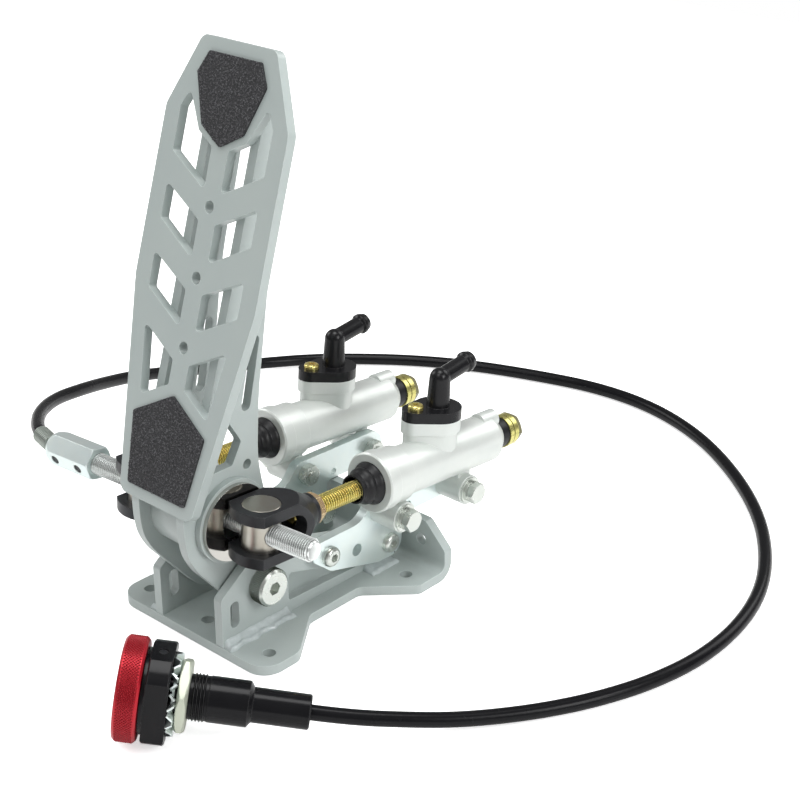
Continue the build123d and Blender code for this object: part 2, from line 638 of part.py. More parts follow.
def trunnion(sign):
    """Upright pin through the clevis, threaded on the bar."""
    pin = z_pin(trunnion_r, -clevis_half_h, clevis_half_h)
    pin = on_rod(sign, chamfer(pin.edges().filter_by(GeomType.CIRCLE), trunnion_chamfer))
    return pin - on_bar(x_pin(bar_r + fit_gap, sign * rod_x - 2 * trunnion_r, sign * rod_x + 2 * trunnion_r))


def clevis(sign):
    """Fork that holds the trunnion and takes the push rod: a milled block with a turned front end."""
    length = shank_end - clevis_rear
    block = Pos(0, clevis_rear + length / 2) * Box(2 * clevis_half_w, length, 2 * clevis_half_h)
    block &= turned([(clevis_rear, clevis_cone[0][1]), *clevis_cone, (shank_start, shank_r), (shank_end, shank_r)])
    rear_mid = clevis_rear + clevis_rear_r
    block &= z_pin(clevis_rear_r, -clevis_half_h, clevis_half_h, 0, rear_mid) + y_pin(
        2 * clevis_half_w, rear_mid, shank_end)
    slot_mid = clevis_slot_end - clevis_gap_half
    slot = Pos((clevis_rear + slot_mid) / 2 - 1, 0) * Rectangle(slot_mid - clevis_rear + 2, 2 * clevis_gap_half)
    slot += Pos(slot_mid, 0) * Circle(clevis_gap_half)
    block -= yz_plate(slot, -clevis_half_w - 1, clevis_half_w + 1)
    block -= z_pin(trunnion_r + fit_gap, -clevis_half_h - 1, clevis_half_h + 1)
    block -= y_pin(rod_r + fit_gap, 0, shank_end + 1)
    return on_rod(sign, block)


def jam_nut(sign):
    """Nut that locks the push rod in its clevis."""
    nut = hex_nut(jam_nut_af, shank_end, shank_end + jam_nut_t, 0, 0, rod_r)
    return on_rod(sign, Rot(0, 0, 90) * nut)


def pushrod(sign):
    """Threaded push rod with its ball end in the piston."""
    _, length, _ = rod_line(sign)
    rod = y_pin(rod_r, rod_start, length - rod_neck) + y_pin(rod_neck_r, length - rod_neck, length)
    return on_rod(sign, rod + Pos(0, length, 0) * Sphere(ball_end_r))


# Master cylinders

def port_shape(inset=0.0):
    """Outline of the feed port's flange: a disc joined to the lobe of its screw."""
    return make_hull([*Circle(port_r - inset).edges(),
                      *(Pos(*port_lobe) * Circle(port_lobe_r - inset)).edges()])


def at_port(height, shape):
    """Place a shape over the feed port."""
    return Pos(0, port_s, height) * shape


def cylinder(sign):
    """Cast body of one master cylinder."""
    inner, outer = sorted((sign * (bracket_outer_x - rod_x), sign * foot_reach))
    body = turned([(0, mouth_r - mouth_chamfer), (mouth_chamfer, mouth_r), (rim_end, mouth_r), (rim_end, collar_r),
                   (collar_end - collar_blend, collar_r), (collar_end, barrel_r), (barrel_end, barrel_r),
                   (nose_end, nose_r)])
    for s in feet_s:
        body += x_pin(foot_r, inner, outer, s, -foot_drop)
        body += Pos(0, s, -foot_drop / 2) * Box(2 * foot_web_x, 2 * foot_web_s, foot_drop)
    body += at_port(0, extrude(port_shape(port_neck_in), port_top - port_pad_t, dir=(0, 0, 1)))
    body += at_port(port_top - port_pad_t, extrude(port_shape(), port_pad_t, dir=(0, 0, 1)))
    body += y_pin(bleed_r, *bleed_s, 0, bleed_h)
    body -= y_pin(mouth_bore_r, -1, mouth_depth)
    body -= y_pin(bore_r, mouth_depth - 1, bore_end)
    body -= y_pin(union_r + fit_gap, bore_end - 1, nose_end + 1)
    for s in feet_s:
        body -= x_pin(bolt_r + fit_gap, -rod_x, rod_x, s, -foot_drop)
    body -= z_pin(port_hole_r, 0, port_top + 1, 0, port_s)
    body -= z_pin(adaptor_seal_r + fit_gap, port_top - adaptor_seal_t, port_top + 1, 0, port_s)
    screw_bottom = port_top + adaptor_t - adaptor_screw_len
    body -= at_port(0, z_pin(adaptor_screw_r + fit_gap, screw_bottom, port_top + 1, *port_lobe))
    return on_cylinder(sign, body)


def adaptor(sign):
    """Moulded feed adaptor with its angled hose spout."""
    base = port_top + adaptor_t
    elbow = base + spout_rise
    body = at_port(port_top, extrude(port_shape(), adaptor_t, dir=(0, 0, 1)))
    body += at_port(base, Cone(spout_low_r, spout_high_r, spout_rise, align=(Align.CENTER, Align.CENTER, Align.MIN)))
    body += at_port(elbow, Sphere(spout_high_r))
    barb = spout_reach - spout_barb
    tube = turned([(0, spout_tube_r), (barb, spout_tube_r), (barb + spout_barb_slope, spout_barb_r),
                   (barb + spout_barb_slope + spout_barb_flat, spout_barb_r), (spout_reach, spout_tube_r)])
    along = Location((0, port_s, elbow), (spout_tilt, 0, 0))
    body += along * tube
    body -= along * y_pin(spout_bore_r, 0, spout_reach + 1)
    body -= z_pin(spout_bore_r, port_top - 1, elbow, 0, port_s)
    body -= at_port(0, z_pin(adaptor_screw_r + fit_gap, port_top - 1, base + 1, *port_lobe))
    return on_cylinder(sign, body)


def adaptor_screws():
    """Pan-head screws that hold the adaptors down."""
    base = port_top + adaptor_t
    screw = z_pin(pan_head_r, base, base + pan_head_h, *port_lobe)
    screw = fillet(screw.edges().sort_by(Axis.Z)[-1], pan_head_h / 2)
    for turn in (0, 90):
        screw -= Pos(*port_lobe, base + pan_head_h) * Rot(0, 0, turn) * Box(cross_length, cross_width, 2 * cross_depth)
    screw += z_pin(adaptor_screw_r, base - adaptor_screw_len, base, *port_lobe)
    return [on_cylinder(sign, at_port(0, screw)) for sign in (-1, 1)]


def adaptor_seals():
    """Sealing rings under the adaptors."""
    low = port_top - adaptor_seal_t
    seal = z_pin(adaptor_seal_r, low, port_top) - z_pin(port_hole_r, low - 1, port_top + 1)
    return [on_cylinder(sign, at_port(0, seal)) for sign in (-1, 1)]


def outlet_unions():
    """Outlet unions with their two flanges."""
    union = turned([(union_start, union_r - union_chamfer), (union_start + union_chamfer, union_r),
                    (flange_start_s, union_r), (flange_start_s, union_flange_r), (gap_start_s, union_flange_r),
                    (gap_start_s, union_r), (rear_start_s, union_r), (rear_start_s, union_rear_r),
                    (cap_start_s, union_rear_r)])
    return [on_cylinder(sign, union) for sign in (-1, 1)]


def outlet_seals():
    """Black rings before and between the union's flanges."""
    return [on_cylinder(sign, ring(radius, union_r + fit_gap, low, high)) for sign in (-1, 1)
            for radius, low, high in ((outlet_seal_r, nose_end, flange_start_s),
                                      (gap_seal_r, gap_start_s, rear_start_s))]


def outlet_caps():
    """Domed hexagonal transit caps on the outlets."""
    high = cap_start_s + outlet_cap_h
    corner = outlet_cap_af / 3 ** 0.5
    dome = turned([(cap_start_s, corner), (cap_start_s + cap_shoulder_h, corner), (high, cap_top_r)])
    cap = Rot(0, 0, 90) * x_hex(outlet_cap_af, cap_start_s, high) & dome
    return [on_cylinder(sign, cap) for sign in (-1, 1)]


def retaining_rings():
    """Rings that hold the pistons in."""
    return [on_cylinder(sign, ring(mouth_bore_r - fit_gap, ring_bore_r, mouth_depth - ring_t, mouth_depth))
            for sign in (-1, 1)]


def boots():
    """Rubber boots in the cylinder mouths, clear of the push rods."""
    section = [(r, y) for y, r in boot_outer + boot_inner]
    boot = revolve(make_face(Polyline(*section, close=True)), Axis.Y)
    return [on_cylinder(sign, boot) for sign in (-1, 1)]


def piston(sign):
    """Piston with two seal grooves and the push rod's cup."""
    body = y_pin(piston_r, piston_rear_s, piston_front_s)
    for s in seal_s:
        body -= ring(bore_r + 1, seal_root_r, s, s + seal_t)
    cup_r = ball_end_r + ball_cup_gap
    body -= y_pin(cup_r, piston_rear_s - 1, ball_seat_s) + Pos(0, ball_seat_s, 0) * Sphere(cup_r)
    return on_cylinder(sign, body)


def piston_seals(sign):
    """The two rubber seals of one piston."""
    return [on_cylinder(sign, ring(piston_r, seal_root_r, s, s + seal_t)) for s in seal_s]


def return_spring(sign):
    """Coil spring that returns one piston."""
    low, high = piston_front_s + running_gap + spring_wire_r, bore_end - running_gap - spring_wire_r
    helix = Helix(pitch=(high - low) / spring_turns, height=high - low, radius=spring_r)
    wire = sweep(Plane(origin=helix @ 0, z_dir=helix % 0) * Circle(spring_wire_r), path=helix, is_frenet=True)
    return on_cylinder(sign, Location((0, low, 0), (-90, 0, 0)) * wire)


# Remote adjuster and cable

def adjuster_knob():
    """Knob with the spindle that drives the cable."""
    knob = turned_x([(0, knob_r - knob_edge), (knob_edge, knob_r), (knob_t - knob_edge, knob_r),
                     (knob_t, knob_r - knob_edge)])
    return on_adjuster(knob + x_pin(spindle_r, knob_t, thread_end - running_gap))


def adjuster_body():
    """Black body with its neck and its threaded stem."""
    edge = adjuster_body_edge
    body = turned_x([(body_start, adjuster_neck_r), (body_mid, adjuster_neck_r), (body_mid, adjuster_body_r - edge),
                     (body_mid + edge, adjuster_body_r), (body_end - edge, adjuster_body_r),
                     (body_end, adjuster_body_r - edge), (body_end, adjuster_thread_r),
                     (thread_end, adjuster_thread_r)])
    middle, cut = (body_mid + body_end) / 2, Box(adjuster_body_t, 2 * adjuster_body_r, adjuster_body_r)
    body -= Pos(middle, 0, adjuster_facet + adjuster_body_r / 2) * cut
    for sign in (-1, 1):
        body -= Pos(middle, sign * (wrench_flat + adjuster_body_r / 2), 0) * Rot(90, 0, 0) * cut
    body -= x_pin(spindle_r + fit_gap, 0, thread_end + 1)
    body -= z_pin(set_screw_r + fit_gap, 0, adjuster_body_r, middle)
    return on_adjuster(body)


def adjuster_set_screw():
    """Set screw in the facet on top of the body."""
    top = adjuster_facet - grub_sunk
    return on_adjuster(z_pin(set_screw_r, top - set_screw_len, top, (body_mid + body_end) / 2))


def tooth_washer():
    """Toothed lock washer."""
    face = Circle(tooth_washer_r) - Circle(adjuster_thread_r + fit_gap)
    notch = Rectangle(2 * tooth_depth, tooth_depth)
    face -= PolarLocations(tooth_washer_r, tooth_count) * notch
    return on_adjuster(yz_plate(face, body_end, washer_end))


def adjuster_nut():
    """Panel nut on the adjuster's stem."""
    return on_adjuster(hex_nut(adjuster_nut_af, washer_end, washer_end + adjuster_nut_t, 0, 0,
                               adjuster_thread_r))


def adjuster_barrel_piece():
    """Barrel and tail that hold the cable's sheath."""
    return on_adjuster(turned_x([(thread_end, adjuster_barrel_r), (barrel_end_x, adjuster_barrel_r),
                                 (barrel_end_x + adjuster_chamfer, adjuster_tail_r),
                                 (tail_end_x - tail_edge, adjuster_tail_r), (tail_end_x, adjuster_tail_r - tail_edge)]))


def cable():
    """Sheathed flexible drive: straight runs and tangent arcs from the coupler to the adjuster."""
    end = on_bar(Pos(coupler_left - cable_start_gap, 0, 0) * Vertex(0, 0, 0)).center()
    turn = radians(cable_start_angle)
    first = end + cable_first_run * Vector(-cos(turn), sin(turn), 0)
    tail = on_adjuster(Pos(tail_end_x, 0, 0) * Vertex(0, 0, 0)).center()
    last = on_adjuster(Pos(tail_end_x + cable_last_run, 0, 0) * Vertex(0, 0, 0)).center()
    route = [end, first, *[Vector(*p) for p in cable_route], last, tail]
    radii = eased(route[1:-1], route[0], route[-1])
    path = FilletPolyline(*route, radius=radii)
    print("cable radii:", [round(r) for r in radii], "length:", round(path.length))
    runs = [(b - a).length for a, b in zip(route, route[1:])]
    print("cable runs:", [round(r) for r in runs])
    tube = sweep(Plane(origin=path @ 0, z_dir=path % 0) * Circle(cable_r), path=path)
    print("cable volume:", round(tube.volume), "section times length:", round(3.14159265 * cable_r ** 2 * path.length))
    return tube


single = {
    "base_plate": base_plate, "frame_welds": frame_welds, "bracket_bolts": bracket_bolts,
    "bracket_nuts": bracket_nuts, "cylinder_bolts": cylinder_bolts, "cylinder_washers": cylinder_washers,
    "spring_washers": spring_washers,
    "cylinder_nuts": cylinder_nuts, "pivot_bolt": pivot_bolt, "pivot_nut": pivot_nut,
    "adaptor_screws": adaptor_screws, "adaptor_seals": adaptor_seals, "outlet_unions": outlet_unions,
    "outlet_seals": outlet_seals, "outlet_caps": outlet_caps, "retaining_rings": retaining_rings,
    "boots": boots, "pedal_pad": pad_plate, "pivot_tube": pivot_tube, "pivot_bushes": pivot_bushes,
    "bias_tube": bias_tube, "side_discs": side_discs, "bearing_race": bearing_race,
    "bearing_ball": bearing_ball, "balance_bar": balance_bar, "coupler": coupler,
    "grub_screws": grub_screws, "adjuster_knob": adjuster_knob, "adjuster_body": adjuster_body,
    "adjuster_set_screw": adjuster_set_screw, "tooth_washer": tooth_washer, "adjuster_nut": adjuster_nut,
    "adjuster_barrel": adjuster_barrel_piece, "cable": cable,
    "grip_upper": lambda: grip(grip_upper_half, grip_upper_tip),
    "grip_lower": lambda: grip(grip_lower_half, grip_lower_tip)}
paired = {
    "side_plate": side_plate, "bracket": bracket, "arm": arm, "trunnion": trunnion, "clevis": clevis,
    "jam_nut": jam_nut, "pushrod": pushrod, "cylinder": cylinder, "adaptor": adaptor, "piston": piston,
    "piston_seals": piston_seals, "return_spring": return_spring}


def write(name, shape):
    """Write one sub-part as a STEP file."""
    if isinstance(shape, list):
        shape = Compound(children=[solid for piece in shape for solid in piece.solids()])
    export_step(shape, f"parts/{name}.step")


os.makedirs("parts", exist_ok=True)
for name, make in single.items():
    write(name, make())
for name, make in paired.items():
    for side, sign in sides.items():
        write(f"{name}_{side}", make(sign))
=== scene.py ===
"""Looks of a floor-mounted brake pedal: threads, knurls, welds, grit, boots, cable and finishes."""

import json
import logging
import math
from dataclasses import dataclass
from enum import Enum
from typing import Any, Callable, Optional, Sequence, Union

import bmesh
import bpy
import numpy as np
from mathutils import Euler, Matrix, Vector

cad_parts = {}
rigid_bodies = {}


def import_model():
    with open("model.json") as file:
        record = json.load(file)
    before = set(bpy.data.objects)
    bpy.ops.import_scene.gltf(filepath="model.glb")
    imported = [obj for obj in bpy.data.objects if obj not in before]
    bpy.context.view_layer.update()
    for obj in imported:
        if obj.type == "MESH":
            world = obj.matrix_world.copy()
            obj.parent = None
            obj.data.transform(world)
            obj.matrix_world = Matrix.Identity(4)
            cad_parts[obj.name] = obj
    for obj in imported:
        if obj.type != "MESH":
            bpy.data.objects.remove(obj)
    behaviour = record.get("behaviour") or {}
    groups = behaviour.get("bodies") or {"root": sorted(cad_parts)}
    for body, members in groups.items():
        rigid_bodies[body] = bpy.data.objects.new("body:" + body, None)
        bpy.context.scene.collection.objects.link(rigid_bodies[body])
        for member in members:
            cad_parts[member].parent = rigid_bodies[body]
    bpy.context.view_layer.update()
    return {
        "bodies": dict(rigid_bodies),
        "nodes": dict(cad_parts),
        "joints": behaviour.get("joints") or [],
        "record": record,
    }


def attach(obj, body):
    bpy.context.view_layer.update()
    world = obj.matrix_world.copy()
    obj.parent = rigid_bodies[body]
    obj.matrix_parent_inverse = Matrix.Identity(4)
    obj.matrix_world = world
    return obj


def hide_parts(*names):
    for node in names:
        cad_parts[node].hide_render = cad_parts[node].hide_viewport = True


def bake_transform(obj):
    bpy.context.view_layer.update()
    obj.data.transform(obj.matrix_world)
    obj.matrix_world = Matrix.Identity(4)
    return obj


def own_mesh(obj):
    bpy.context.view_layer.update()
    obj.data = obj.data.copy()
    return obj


LOG = logging.getLogger("brake_pedal")
MM = 0.001
SIDES = {-1: "left", 1: "right"}
WHITE = (1.0, 1.0, 1.0, 1.0)
MERGE_DISTANCE = 1e-6
SHARP_ANGLE = 40.0
Pair = tuple[float, float]
Pairs = tuple[Pair, ...]
Point = tuple[float, float, float]
Faces = list[tuple[int, ...]]


# Objects


def in_scene(name: str, data: Any) -> bpy.types.Object:
    """New object with its data, linked to the scene."""
    made = bpy.data.objects.new(name, data)
    bpy.context.scene.collection.objects.link(made)
    return made


def discard(*objects: bpy.types.Object) -> None:
    """Remove helper objects."""
    for made in objects:
        bpy.data.objects.remove(made)


def evaluated(host: bpy.types.Object) -> bpy.types.Mesh:
    """Plain mesh of an object with its modifiers and bevel applied."""
    bpy.context.view_layer.update()
    depsgraph = bpy.context.evaluated_depsgraph_get()
    return bpy.data.meshes.new_from_object(host.evaluated_get(depsgraph), depsgraph=depsgraph)


# Node trees


def math_method(operation: str, swap: bool = False) -> Callable[["Signal", Any], "Signal"]:
    """Method of Signal that adds one Math node.

    Args:
        operation: Blender's name of the operation.
        swap: put the signal second.

    Returns:
        The method.
    """
    def method(signal: "Signal", other: Any) -> "Signal":
        """Join the signal and the other operand."""
        return signal.math(operation, other, swap=swap)

    return method


class Signal:
    """A number carried by a node socket; Python operators extend it with Math nodes."""

    def __init__(self, tree: bpy.types.NodeTree, socket: bpy.types.NodeSocket) -> None:
        """Wrap an output socket of a node tree."""
        self.tree, self.socket = tree, socket

    def math(self, operation: str, *others: Union["Signal", float], swap: bool = False) -> "Signal":
        """Add one Math node.

        Args:
            operation: Blender's name of the operation.
            others: the second and third operand, where it has them.
            swap: put this signal second.

        Returns:
            The result as a new signal.
        """
        made = self.tree.nodes.new("ShaderNodeMath")
        made.operation = operation
        operands: list[Any] = [self, *others]
        if swap:
            operands[0], operands[1] = operands[1], operands[0]
        for socket, value in zip(made.inputs, operands):
            link(self.tree, socket, value)
        return Signal(self.tree, made.outputs[0])

    __add__ = __radd__ = math_method("ADD")
    __mul__ = math_method("MULTIPLY")
    __sub__ = math_method("SUBTRACT")
    __rsub__ = math_method("SUBTRACT", swap=True)
    __truediv__ = math_method("DIVIDE")
    __mod__ = math_method("MODULO")

    def ramp(self, low: float, high: float) -> "Signal":
        """Spread the span from low to high over 0 to 1, clamped."""
        scaled = (self - low) / (high - low)
        scaled.socket.node.use_clamp = True
        return scaled


def link(tree: bpy.types.NodeTree, socket: bpy.types.NodeSocket, value: Any) -> None:
    """Set a socket to a value or join it to a signal."""
    if isinstance(value, Signal):
        tree.links.new(value.socket, socket)
    elif value is not None:
        socket.default_value = value


class Graph:
    """A node tree that is filled through one node-making method."""

    def __init__(self, tree: bpy.types.NodeTree) -> None:
        """Take an empty tree."""
        self.tree = tree

    def node(self, kind: str, inputs: Optional[dict[Union[str, int], Any]] = None,
             output: Union[str, int] = 0, **settings: Any) -> Signal:
        """Add a node.

        Args:
            kind: the node's type name.
            inputs: values or signals of its sockets, by name or number.
            output: the output to return.
            settings: its properties, set first.

        Returns:
            The chosen output as a signal.
        """
        made = self.tree.nodes.new(kind)
        for key, value in settings.items():
            setattr(made, key, value)
        for key, value in (inputs or {}).items():
            link(self.tree, made.inputs[key], value)
        return Signal(self.tree, made.outputs[output]) if len(made.outputs) else Signal(self.tree, None)

    def noise(self, place: Signal, scale: float, detail: float, roughness: float = 0.5) -> Signal:
        """Add a noise texture at a place."""
        return self.node("ShaderNodeTexNoise",
                         {"Vector": place, "Scale": scale, "Detail": detail, "Roughness": roughness})

    def mix(self, share: Signal, first: Any, second: Any) -> Signal:
        """Blend two colours by a share of the second."""
        return self.node("ShaderNodeMix", {0: share, 6: first, 7: second}, 2, data_type="RGBA")

    def rays(self, kind: str) -> Signal:
        """One where a light path is of a kind."""
        return self.node("ShaderNodeLightPath", output=kind)


def emptied(owner: Union[bpy.types.Material, bpy.types.World]) -> Graph:
    """Clear the node tree of a material or world and return it."""
    owner.use_nodes = True
    owner.node_tree.nodes.clear()
    return Graph(owner.node_tree)


# Finishes


class Surface(Enum):
    """How a finish's fine relief is made."""

    COATED = "coated"
    CAST = "cast"
    TURNED = "turned"
    PLATED = "plated"
    MOULDED = "moulded"


DETAIL = {Surface.COATED: 1.5, Surface.PLATED: 4.0, Surface.MOULDED: 2.0}
RING_SCALE = 2.2
CAST_SCALE = 0.6
SMEAR_SCALE = 2.7
HIGHLIGHT_RIM_SPAN = (0.003, 0.09)
TINT_SPAN = (0.32, 0.72)
PLAIN_TINT = (1.12, 0.004)
# paler colour of the painted highlight on softened edges
PAINTED_RIM_HIGHLIGHT = (1.35, 0.05)
# darker colour of the painted shade in thread and knurl hollows
PAINTED_GROOVE_SHADE = (0.08, 0.0)
ROUGHNESS_SWING = 0.36
COAT_ROUGHNESS = 0.12


def shade(colour: Point, gain: float, lift: float) -> Point:
    """A colour times a gain plus a lift, kept below white."""
    return tuple(min(1.0, c * gain + lift) for c in colour)


@dataclass(frozen=True)
class Relief:
    """Fine relief: its depth in metres, the scale of its pattern and the way it is made."""

    depth: float = 1e-5
    scale: float = 900.0
    surface: Surface = Surface.PLATED


@dataclass(frozen=True)
class Tint:
    """Clouds of a second colour, or of a paler one where it is None, with their share and scale."""

    colour: Optional[Point] = None
    share: float = 0.35
    scale: float = 45.0


@dataclass(frozen=True)
class Finish:
    """One finish of the pedal box.

    Sizes are in metres. A turned finish has rings round axis through centre. Edge is the radius of softened
    edges, and painted_edge_highlight the share of a paler colour painted on them as a highlight. The groove
    share paints shade into the hollows of threads and knurls, darkening them where their meshes have the
    attribute groove.
    """

    name: str
    colour: Point
    roughness: float
    metallic: float = 0.0
    coat: float = 0.0
    relief: Relief = Relief()
    tint: Tint = Tint()
    edge: float = 3.5e-4
    # share of the painted highlight on softened edges
    painted_edge_highlight: float = 0.0
    centre: Point = (0.0, 0.0, 0.0)
    axis: int = 0
    # share of the painted shade in thread and knurl hollows
    groove: float = 0.0
    specular: float = 0.5

    def height(self, graph: Graph, place: Signal) -> Signal:
        """Fine relief of the surface, from 0 to 1."""
        surface, scale = self.relief.surface, self.relief.scale
        if surface is Surface.TURNED:
            moved = graph.node("ShaderNodeVectorMath", {0: place, 1: self.centre}, operation="SUBTRACT")
            parts = [graph.node("ShaderNodeSeparateXYZ", {0: moved}, axis) for axis in range(3)]
            across = [part for axis, part in enumerate(parts) if axis != self.axis]
            radius = (across[0] * across[0] + across[1] * across[1]).math("SQRT")
            rings = graph.node("ShaderNodeCombineXYZ", {0: radius, 1: parts[self.axis]})
            return graph.noise(rings, scale * RING_SCALE, detail=3.0)
        if surface is Surface.CAST:
            cells = graph.node("ShaderNodeTexVoronoi",
                               {"Vector": place, "Scale": scale, "Smoothness": 0.8}, feature="SMOOTH_F1")
            return cells * 0.5 + graph.noise(place, scale * CAST_SCALE, detail=5.0)
        return graph.noise(place, scale, DETAIL[surface], roughness=0.6)

    def material(self) -> bpy.types.Material:
        """Build the node material of this finish."""
        made = bpy.data.materials.new(self.name)
        graph = emptied(made)
        place = graph.node("ShaderNodeTexCoord", output="Object")
        cloud = graph.noise(place, self.tint.scale, detail=3.0, roughness=0.55)
        soft = graph.node("ShaderNodeBevel", {"Radius": self.edge}, samples=4)
        facing = graph.node("ShaderNodeNewGeometry", output="Normal")
        turn = graph.node("ShaderNodeVectorMath", {0: soft, 1: facing}, "Value", operation="DOT_PRODUCT")
        # painted highlight: a paler colour on edges, where the bevelled normal turns away from the face's
        # normal
        highlight_rim = (1.0 - turn).ramp(*HIGHLIGHT_RIM_SPAN)
        second = self.tint.colour or shade(self.colour, *PLAIN_TINT)
        base = graph.mix(cloud.ramp(*TINT_SPAN) * self.tint.share, (*self.colour, 1.0), (*second, 1.0))
        if self.painted_edge_highlight:
            base = graph.mix(highlight_rim * self.painted_edge_highlight, base, (*shade(self.colour, *PAINTED_RIM_HIGHLIGHT), 1.0))
        # painted shade: the hollows of threads and knurls are darkened by their groove attribute
        if self.groove:
            depth = graph.node("ShaderNodeAttribute", output="Fac", attribute_name="groove")
            base = graph.mix(depth * self.groove, base, (*shade(self.colour, *PAINTED_GROOVE_SHADE), 1.0))
        smear = graph.noise(place, self.tint.scale * SMEAR_SCALE, detail=4.0)
        rough = (1.0 - ROUGHNESS_SWING / 2 + smear * ROUGHNESS_SWING) * self.roughness
        bump = graph.node("ShaderNodeBump",
                          {"Strength": 1.0, "Distance": self.relief.depth, "Height": self.height(graph, place),
                           "Normal": soft})
        shader = graph.node("ShaderNodeBsdfPrincipled",
                            {"Base Color": base, "Roughness": rough, "Metallic": self.metallic,
                             "Specular IOR Level": self.specular, "Coat Weight": self.coat,
                             "Coat Roughness": COAT_ROUGHNESS, "Normal": bump})
        graph.node("ShaderNodeOutputMaterial", {"Surface": shader})
        return made


POWDER = Finish(
    "silver_powder_coat", (0.41, 0.46, 0.445), 0.40, coat=0.2, relief=Relief(3e-5, 1500.0, Surface.COATED),
    tint=Tint((0.37, 0.42, 0.415), 0.6, 22.0), edge=4e-4, painted_edge_highlight=0.9)
WELD = Finish(
    "coated_weld", (0.42, 0.47, 0.47), 0.24, coat=0.4, relief=Relief(3e-5, 700.0, Surface.COATED),
    tint=Tint((0.54, 0.60, 0.60), 0.7, 260.0), edge=3e-4, painted_edge_highlight=0.4)
BRIGHT_ZINC = Finish(
    "bright_zinc", (0.78, 0.85, 0.82), 0.30, metallic=0.70, relief=Relief(6e-6, 1200.0),
    tint=Tint((0.68, 0.80, 0.82), 0.6, 60.0), edge=3e-4, painted_edge_highlight=0.5)
DULL_ZINC = Finish(
    "greenish_zinc", (0.46, 0.49, 0.40), 0.36, metallic=0.45, relief=Relief(1e-5, 1200.0),
    tint=Tint((0.50, 0.53, 0.44), 0.5, 120.0), edge=3e-4, painted_edge_highlight=0.4)
ZINC_THREAD = Finish(
    "zinc_thread", (0.90, 0.94, 0.92), 0.24, metallic=0.70, relief=Relief(3e-6, 2000.0),
    tint=Tint(None, 0.4, 120.0), edge=1e-4, groove=0.6)
STAINLESS = Finish(
    "machined_steel", (0.62, 0.65, 0.61), 0.28, metallic=0.90, relief=Relief(5e-6, 1500.0),
    tint=Tint(None, 0.4, 90.0), edge=3e-4, painted_edge_highlight=0.4)
DARK_STEEL = Finish(
    "oiled_steel", (0.12, 0.13, 0.11), 0.34, metallic=0.90, relief=Relief(5e-6, 1500.0),
    tint=Tint(None, 0.4, 90.0), edge=1e-4, groove=0.8)
MIRROR_STEEL = Finish(
    "polished_steel", (0.50, 0.49, 0.46), 0.12, metallic=1.0, relief=Relief(2e-6, 500.0, Surface.TURNED),
    tint=Tint(None, 0.3, 40.0), edge=3e-4, centre=(0.0, 0.0006, 0.0674))
BURNISHED = Finish(
    "burnished_steel", (0.47, 0.455, 0.41), 0.32, metallic=1.0, relief=Relief(5e-6, 700.0, Surface.TURNED),
    tint=Tint((0.42, 0.38, 0.31), 0.6, 160.0), edge=4e-4, centre=(0.0364, 0.0036, 0.0674), axis=2)
BRONZE = Finish(
    "sintered_bronze", (0.60, 0.40, 0.20), 0.42, metallic=1.0, relief=Relief(1e-5, 2500.0, Surface.CAST))
CAST = Finish(
    "satin_cast_aluminium", (0.69, 0.72, 0.69), 0.40, metallic=0.40, relief=Relief(5e-5, 1300.0, Surface.CAST),
    tint=Tint((0.58, 0.62, 0.60), 0.5, 55.0), edge=3e-4, painted_edge_highlight=0.6)
BLACK_PLASTIC = Finish(
    "black_moulding", (0.008, 0.008, 0.009), 0.24, relief=Relief(1e-5, 800.0, Surface.MOULDED),
    tint=Tint((0.014, 0.014, 0.015), 0.5, 60.0), edge=5e-4, painted_edge_highlight=0.3, specular=0.25)
RUBBER = Finish(
    "black_rubber", (0.009, 0.009, 0.010), 0.36, relief=Relief(2e-5, 1400.0, Surface.MOULDED),
    tint=Tint((0.018, 0.018, 0.019), 0.5, 90.0), edge=4e-4, specular=0.25)
YELLOW_ZINC = Finish(
    "yellow_zinc", (0.86, 0.68, 0.22), 0.26, metallic=0.85, relief=Relief(4e-6, 1500.0),
    tint=Tint((0.76, 0.76, 0.28), 0.7, 140.0), edge=2e-4, groove=0.65)
COPPER_ZINC = Finish(
    "copper_toned_zinc", (0.82, 0.62, 0.36), 0.26, metallic=0.80, relief=Relief(4e-6, 1500.0),
    tint=Tint((0.84, 0.50, 0.26), 0.7, 150.0), edge=3e-4, painted_edge_highlight=0.5)
GREEN_ZINC = Finish(
    "olive_zinc", (0.62, 0.60, 0.20), 0.28, metallic=0.9, relief=Relief(4e-6, 1500.0),
    tint=Tint((0.72, 0.60, 0.24), 0.6, 160.0), edge=3e-4)
# its paler edges are partly worn edges and partly painted highlight
BLACK_OXIDE = Finish(
    "black_oxide", (0.018, 0.019, 0.021), 0.34, metallic=0.25, relief=Relief(1e-5, 1300.0),
    tint=Tint((0.034, 0.035, 0.039), 0.6, 80.0), edge=6e-4, painted_edge_highlight=0.5, specular=0.30)
RED_ANODISED = Finish(
    "red_anodised", (0.44, 0.009, 0.020), 0.34, metallic=0.55, relief=Relief(4e-6, 1800.0),
    tint=Tint((0.38, 0.006, 0.016), 0.5, 110.0), edge=3e-4, groove=0.8)
BLACK_ANODISED = Finish(
    "black_anodised", (0.006, 0.006, 0.007), 0.17, relief=Relief(4e-6, 1600.0),
    tint=Tint((0.010, 0.010, 0.011), 0.5, 70.0), edge=6e-4, painted_edge_highlight=0.4, groove=0.7, specular=0.15)
CAP = Finish("transit_cap", (0.16, 0.15, 0.08), 0.36, relief=Relief(2e-5, 900.0, Surface.MOULDED))
GRIT_BED = Finish(
    "grit_bed", (0.020, 0.020, 0.022), 0.85, relief=Relief(2e-4, 1500.0, Surface.CAST),
    tint=Tint((0.05, 0.05, 0.052), 0.7, 700.0))
